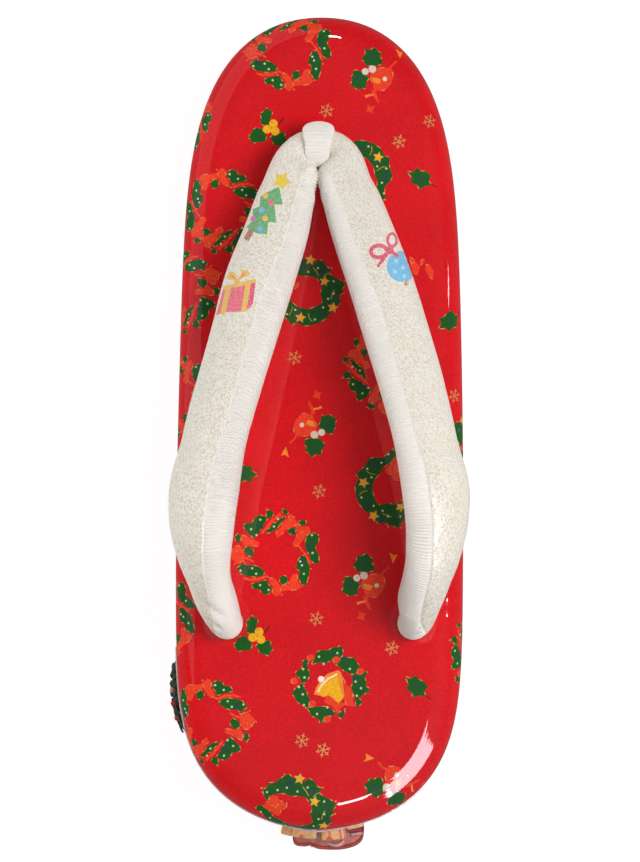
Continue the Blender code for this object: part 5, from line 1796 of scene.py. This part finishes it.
def gift_boxes(tan):
    """The four gift boxes with their lids."""
    for gift in GIFTS:
        top = GIFT_FLOOR + gift.tall
        seam = top - gift.lid
        body = Body()
        wall_block(body, gift.start + 0.25, gift.end - 0.25, GIFT_FLOOR, seam + 0.1, gift.out - 0.3)
        wall_block(body, gift.start, gift.end, seam, top, gift.out)
        keep(build(gift.name, body, tan, angle=40), "tan_resin", gift.name)


SQUARE_BOX_RIBBONS = [(-5.7, 0.3), (-6.75, 0.22), (-2.6, 0.3)]      # arc, half width
RIBBON_KNOTS = [(2, -2.6, 4.6), (1, 4.9, 4.2)]      # number of the box, arc, reach from the wall


def gift_ribbons(coral):
    """Flat ribbons over the square gift box and small knots on two lids."""
    body = Body()
    for arc, half in SQUARE_BOX_RIBBONS:
        gift = GIFTS[2]
        top = GIFT_FLOOR + gift.tall
        front = gift.out + 0.02
        over = [(arc, GIFT_FLOOR + 0.5, front - 0.33), (arc, top - gift.lid - 0.3, front - 0.31),
                (arc, top - gift.lid + 0.3, front), (arc, top - 1.0, front), (arc, top - 0.35, front - 0.15),
                (arc, top - 0.02, front - 0.75), (arc, top + 0.02, front - 1.6), (arc, top + 0.02, 0.6)]
        flat_ribbon(body, over, half, 0.14)
    for number, arc, out in RIBBON_KNOTS:
        top = GIFT_FLOOR + GIFTS[number].tall
        ball(body, on_wall(arc, top + 0.2, out), 0.42, rings=5, sides=8)
        for side in (-1.0, 1.0):
            ball(body, on_wall(arc + 0.55 * side, top + 0.15, out + 0.45), 0.36, rings=5, sides=8)
    keep(build("gift_ribbons", body, coral, angle=50), "red_resin")


def flat_ribbon(body, path, half, thick):
    """A thin closed strip across the arcs that follows (arc, height, out) places."""
    path = np.array(path, dtype=float)
    rings = []
    for (arc, height, out), step in zip(path, steps_along(path)[:, 1:]):
        along = unit(step)
        away = np.array([-along[1], along[0]]) * (1.0 if along[0] > 0.0 or along[1] < 0.0 else -1.0)
        corners = [(-half, -thick), (half, -thick), (half, thick), (-half, thick)]
        rings.append(body.add_points([on_wall(arc + x, height + y * away[0], out + y * away[1])
                                      for x, y in corners]))
    body.skin(rings)


# ---- finishes ----

def new_finish(name, **values):
    """A material with a Principled shader whose sockets are set; returns it with its tree and shader."""
    made = bpy.data.materials.new(name)
    made.use_nodes = True
    shader = made.node_tree.nodes["Principled BSDF"]
    for label, value in values.items():
        socket = shader.inputs[label.replace("_", " ")]
        socket.default_value = (*value, 1.0) if isinstance(value, tuple) else value
    return made, made.node_tree, shader


def product(tree, first, second):
    """Two numbers multiplied."""
    return add_node(tree, "ShaderNodeMath", {0: first, 1: second}, operation="MULTIPLY").outputs[0]


def ranged(tree, value, low, high, least, most, **options):
    """A value between low and high, brought to between least and most."""
    return add_node(tree, "ShaderNodeMapRange", {
        "Value": value, "From Min": low, "From Max": high, "To Min": least, "To Max": most},
        **options).outputs["Result"]


def attribute(tree, name):
    """An attribute of the mesh."""
    return add_node(tree, "ShaderNodeAttribute", attribute_name=name).outputs


def mottle_group():
    """Soft mottling: a shade that lightens and darkens a colour, and a height for a bump."""
    tree, given, made = new_tree(
        "mottle", "ShaderNodeTree",
        [("Place", "Vector"), ("Scale", "Float", 500.0), ("Least shade", "Float", 0.85),
         ("Most shade", "Float", 1.1)],
        [("Shade", "Float"), ("Height", "Float")])
    noise = add_node(tree, "ShaderNodeTexNoise", {"Vector": given["Place"], "Scale": given["Scale"],
                                                  "Detail": 3.0, "Roughness": 0.6}).outputs["Fac"]
    tree.links.new(ranged(tree, noise, 0.3, 0.7, given["Least shade"], given["Most shade"]), made["Shade"])
    tree.links.new(noise, made["Height"])
    return tree


def mottled(tree, group, scale, least, most):
    """The mottling placed in a material, over the piece's own coordinates."""
    place = add_node(tree, "ShaderNodeTexCoord").outputs["Object"]
    return add_node(tree, "ShaderNodeGroup", {"Place": place, "Scale": scale, "Least shade": least,
                                              "Most shade": most}, node_tree=group).outputs


def shaded(tree, colour, shade):
    """A colour multiplied by a shade."""
    mixed = add_node(tree, "ShaderNodeVectorMath", {0: colour, 1: shade}, operation="MULTIPLY")
    return mixed.outputs[0]


def bumped(tree, shader, height, strength, depth):
    """Feed a bump of a depth in millimetres to a shader."""
    bump = add_node(tree, "ShaderNodeBump", {"Strength": strength, "Distance": depth * MM, "Height": height})
    tree.links.new(bump.outputs["Normal"], shader.inputs["Normal"])


def printed_vinyl(mottle):
    """Printed cotton under clear vinyl: fine mottled cloth below a glossy coat."""
    made, tree, shader = new_finish("printed_cover", Roughness=0.6, Specular_IOR_Level=0.1, Coat_Weight=1.0,
                                    Coat_Roughness=0.035, Coat_IOR=1.5)
    fine = mottled(tree, mottle, 1500.0, 0.84, 1.16)
    broad = mottled(tree, mottle, 55.0, 0.93, 1.07)
    colour = shaded(tree, attribute(tree, "ink")["Color"], fine["Shade"])
    tree.links.new(shaded(tree, colour, broad["Shade"]), shader.inputs["Base Color"])
    tree.links.new(product(tree, attribute(tree, "foil")["Fac"], 0.35), shader.inputs["Metallic"])
    bumped(tree, shader, fine["Height"], 0.25, 0.06)
    return made


def lame_cloth(mottle):
    """Warm ivory cloth woven with fine bright and tan metal flecks in slanting rows."""
    made, tree, shader = new_finish("lame_cloth", Roughness=0.5, Specular_IOR_Level=0.5)
    cloth_map = add_node(tree, "ShaderNodeUVMap", uv_map="cloth").outputs["UV"]
    slanted = add_node(tree, "ShaderNodeMapping", {"Vector": cloth_map, "Rotation": (0.0, 0.0, 0.62),
                                                   "Scale": (1.0, 1.25, 1.0)}, vector_type="POINT")
    cells = add_node(tree, "ShaderNodeTexVoronoi", {
        "Vector": slanted.outputs[0], "Scale": 190.0, "Randomness": 0.55}, voronoi_dimensions="2D").outputs
    parts = add_node(tree, "ShaderNodeSeparateColor", {"Color": cells["Color"]}).outputs
    fleck = ranged(tree, cells["Distance"], 0.2, 0.55, 1.0, 0.0)
    dark = product(tree, ranged(tree, parts["Green"], 0.62, 0.72, 0.0, 0.6), fleck)
    bright = product(tree, ranged(tree, parts["Red"], 0.5, 0.6, 0.0, 1.0), fleck)
    bare = ranged(tree, attribute(tree, "foil")["Fac"], 0.0, 1.0, 0.25, 1.0)
    colour = shaded(tree, attribute(tree, "ink")["Color"], mottled(tree, mottle, 160.0, 0.97, 1.03)["Shade"])
    for share, tint in ((dark, (0.45, 0.35, 0.24, 1.0)), (bright, (1.0, 0.98, 0.9, 1.0))):
        colour = add_node(tree, "ShaderNodeMix", {0: product(tree, share, bare), 6: colour, 7: tint},
                          data_type="RGBA").outputs[2]
    tree.links.new(colour, shader.inputs["Base Color"])
    tree.links.new(product(tree, bright, 0.2), shader.inputs["Metallic"])
    bumped(tree, shader, cells["Distance"], 0.4, 0.08)
    return made


def ribbed_lining(mottle):
    """Soft white lining cloth; its ribs are modelled."""
    made, tree, shader = new_finish("ribbed_lining", Roughness=0.75, Sheen_Weight=0.2, Sheen_Roughness=0.5)
    fine = mottled(tree, mottle, 1800.0, 0.96, 1.03)
    tree.links.new(shaded(tree, INKS["lining"], fine["Shade"]), shader.inputs["Base Color"])
    bumped(tree, shader, fine["Height"], 0.4, 0.06)
    return made


def moulded(name, colour, mottle, roughness=0.4, scale=420.0, depth=0.1):
    """A cast resin or rubber of one colour with uneven shade and a fine grain."""
    made, tree, shader = new_finish(name, Roughness=roughness)
    grain = mottled(tree, mottle, scale, 0.75, 1.2)
    tree.links.new(shaded(tree, colour, grain["Shade"]), shader.inputs["Base Color"])
    bumped(tree, shader, grain["Height"], 0.4, depth)
    return made


# ---- studio ----

def soft_light(name, place, size, power, colour=(1.0, 1.0, 1.0), glossy=True, diffuse=True):
    """An oblong soft light that faces the sandal; it may be kept out of reflections, or only be reflected."""
    lamp = bpy.data.lights.new(name, "AREA")
    lamp.shape = "RECTANGLE"
    lamp.size, lamp.size_y = size
    lamp.energy = power
    lamp.color = colour
    item = new_object(name, lamp)
    item.location = place
    item.rotation_mode = "QUATERNION"
    item.rotation_quaternion = (SANDAL_MIDDLE - Vector(place)).to_track_quat("-Z", "Y")
    item.visible_camera = False
    item.visible_glossy = glossy
    item.visible_diffuse = diffuse


def from_sandal(bearing, height):
    """A place 1 m away at a bearing anticlockwise from +X and a height angle, seen from the sandal."""
    bearing, height = math.radians(bearing), math.radians(height)
    return SANDAL_MIDDLE + Vector((math.cos(height) * math.cos(bearing), math.cos(height) * math.sin(bearing),
                                   math.sin(height)))


def studio_floor():
    """The white floor, pale even where the sandal shades it."""
    mesh = bpy.data.meshes.new("studio_floor")
    reach = FLOOR_REACH
    mesh.from_pydata([(x, y, FLOOR_HEIGHT) for x, y in [(-reach, -reach), (reach, -reach), (reach, reach),
                                                        (-reach, reach)]], [], [(0, 1, 2, 3)])
    finish, _, _ = new_finish("studio_floor", Base_Color=(0.2, 0.2, 0.2), Roughness=0.95,
                              Specular_IOR_Level=0.0, Emission_Color=(1.0, 1.0, 1.0), Emission_Strength=0.92)
    mesh.materials.append(finish)
    floor = new_object("studio_floor", mesh)
    floor.visible_glossy = False


def fill_lights():
    """Broad lights that shape the sandal and stay out of its reflections."""
    for name, place, size, power in [
            ("fill_above", (0.1, -0.15, 1.3), (1.6, 1.6), 4.8),
            ("fill_left", (1.3, -0.3, 0.25), (1.0, 0.42), 9.2),
            ("fill_heel", (0.1, 1.1, 0.42), (0.8, 0.5), 1.6),
            ("key_right", from_sandal(-171, 58), (0.5, 0.5), 7.7)]:
        soft_light(name, place, size, power, glossy=False)


def gloss_cards():
    """Bright cards that show only as highlights on the vinyl: a long one at the heel and short glints."""
    for height in HEEL_CARD_HEIGHTS:
        wide = HEEL_CARD_WIDE * math.cos(math.radians(height))
        soft_light(f"heel_card_{height}", from_sandal(HEEL_CARD_BEARING, height), (wide, HEEL_CARD_TALL),
                   HEEL_CARD_POWER * wide, colour=(1.0, 0.9, 1.0), diffuse=False)
    for name, place, size, power in [
            ("side_glint", (-0.184, -0.156, 0.1225), (0.0045, 0.016), 0.0042),
            ("rear_glint_1", (-0.1175, -0.054, 0.1315), (0.001, 0.006), 0.0012),
            ("rear_glint_2", (-0.1175, -0.048, 0.1315), (0.001, 0.006), 0.0012),
            ("heel_glint", (-0.0259, 0.1062, 0.333), (0.03, 0.03), 0.08),
            ("toe_glint", (-0.012, -0.318, 0.297), (0.02, 0.028), 0.07),
            ("outer_card", from_sandal(-42, 34), (1.2, 0.95), 1.8)]:
        soft_light(name, place, size, power, diffuse=False)


def studio_air():
    """A dim room, a little brighter near the floor."""
    world = bpy.data.worlds.new("studio_air")
    bpy.context.scene.world = world
    world.use_nodes = True
    tree = world.node_tree
    sky = tree.nodes["Background"]
    way = add_node(tree, "ShaderNodeTexCoord").outputs["Generated"]
    parts = add_node(tree, "ShaderNodeSeparateXYZ", {"Vector": way})
    glow = ranged(tree, parts.outputs["Z"], 0.0, 0.6, 0.16, 0.03, interpolation_type="SMOOTHSTEP")
    tree.links.new(glow, sky.inputs["Strength"])
    sky.inputs["Color"].default_value = (1.0, 1.0, 1.0, 1.0)
    bpy.context.scene.view_settings.view_transform = "Standard"


def camera():
    """A long lens that looks down at the sandal, turned so that its toe is at the top of the view."""
    lens = bpy.data.cameras.new("camera")
    lens.lens = LENS
    lens.sensor_width = 36.0
    item = new_object("camera", lens)
    back = (CAMERA - AIM).normalized()
    up = Vector((0.0, -1.0, 0.0))
    up = (up - back * up.dot(back)).normalized()
    right = up.cross(back)
    item.matrix_world = Matrix.Translation(CAMERA * MM) @ Matrix((right, up, back)).transposed().to_4x4()
    bpy.context.scene.camera = item


def main():
    """Dress the sandal and light it."""
    mottle = mottle_group()
    cover = printed_vinyl(mottle)
    lining = ribbed_lining(mottle)
    rubber = moulded("sole_rubber", (0.045, 0.04, 0.036), mottle, roughness=0.75)
    under = moulded("underside_cloth", INKS["under"], mottle, roughness=0.5, scale=900.0)
    green = moulded("green_resin", rgb(54, 76, 60), mottle, roughness=0.38, scale=600.0, depth=0.2)
    red = moulded("red_resin", rgb(196, 48, 54), mottle, roughness=0.32, scale=500.0)
    crimson = moulded("crimson_resin", rgb(140, 26, 46), mottle, roughness=0.35, scale=500.0)
    coral = moulded("coral_resin", rgb(222, 112, 88), mottle, roughness=0.4, scale=500.0)
    rosewood = moulded("rosewood_resin", rgb(180, 84, 74), mottle, roughness=0.3, scale=380.0, depth=0.25)
    tan = moulded("tan_resin", rgb(238, 186, 108), mottle, roughness=0.45, depth=0.2)
    pale = moulded("pale_resin", rgb(206, 158, 148), mottle, roughness=0.5, scale=700.0)
    # pale colour of the vinyl edge: partly its own, partly a painted highlight along the rim
    clear = moulded("vinyl_edge", rgb(232, 214, 216), mottle, roughness=0.2, scale=900.0, depth=0.03)
    printed_cover(cover)
    printed_wrap(cover, under)
    rubber_soles(rubber)
    hanao_strap(lame_cloth(mottle), lining)
    strands = strand_tree()
    lining_ribs(strands, lining)
    front_loop(lining, strands)
    vinyl_edge(strands, clear)
    scatter = scatter_tree()
    wreath_ring(green)
    wreath_leaves(scatter, green)
    wreath_trim(red, pale)
    sleigh_body(rosewood)
    sleigh_trim(crimson, pale)
    sleigh_snow(scatter, pale)
    gift_boxes(tan)
    gift_ribbons(coral)
    camera()
    studio_floor()
    fill_lights()
    gloss_cards()
    studio_air()


main()
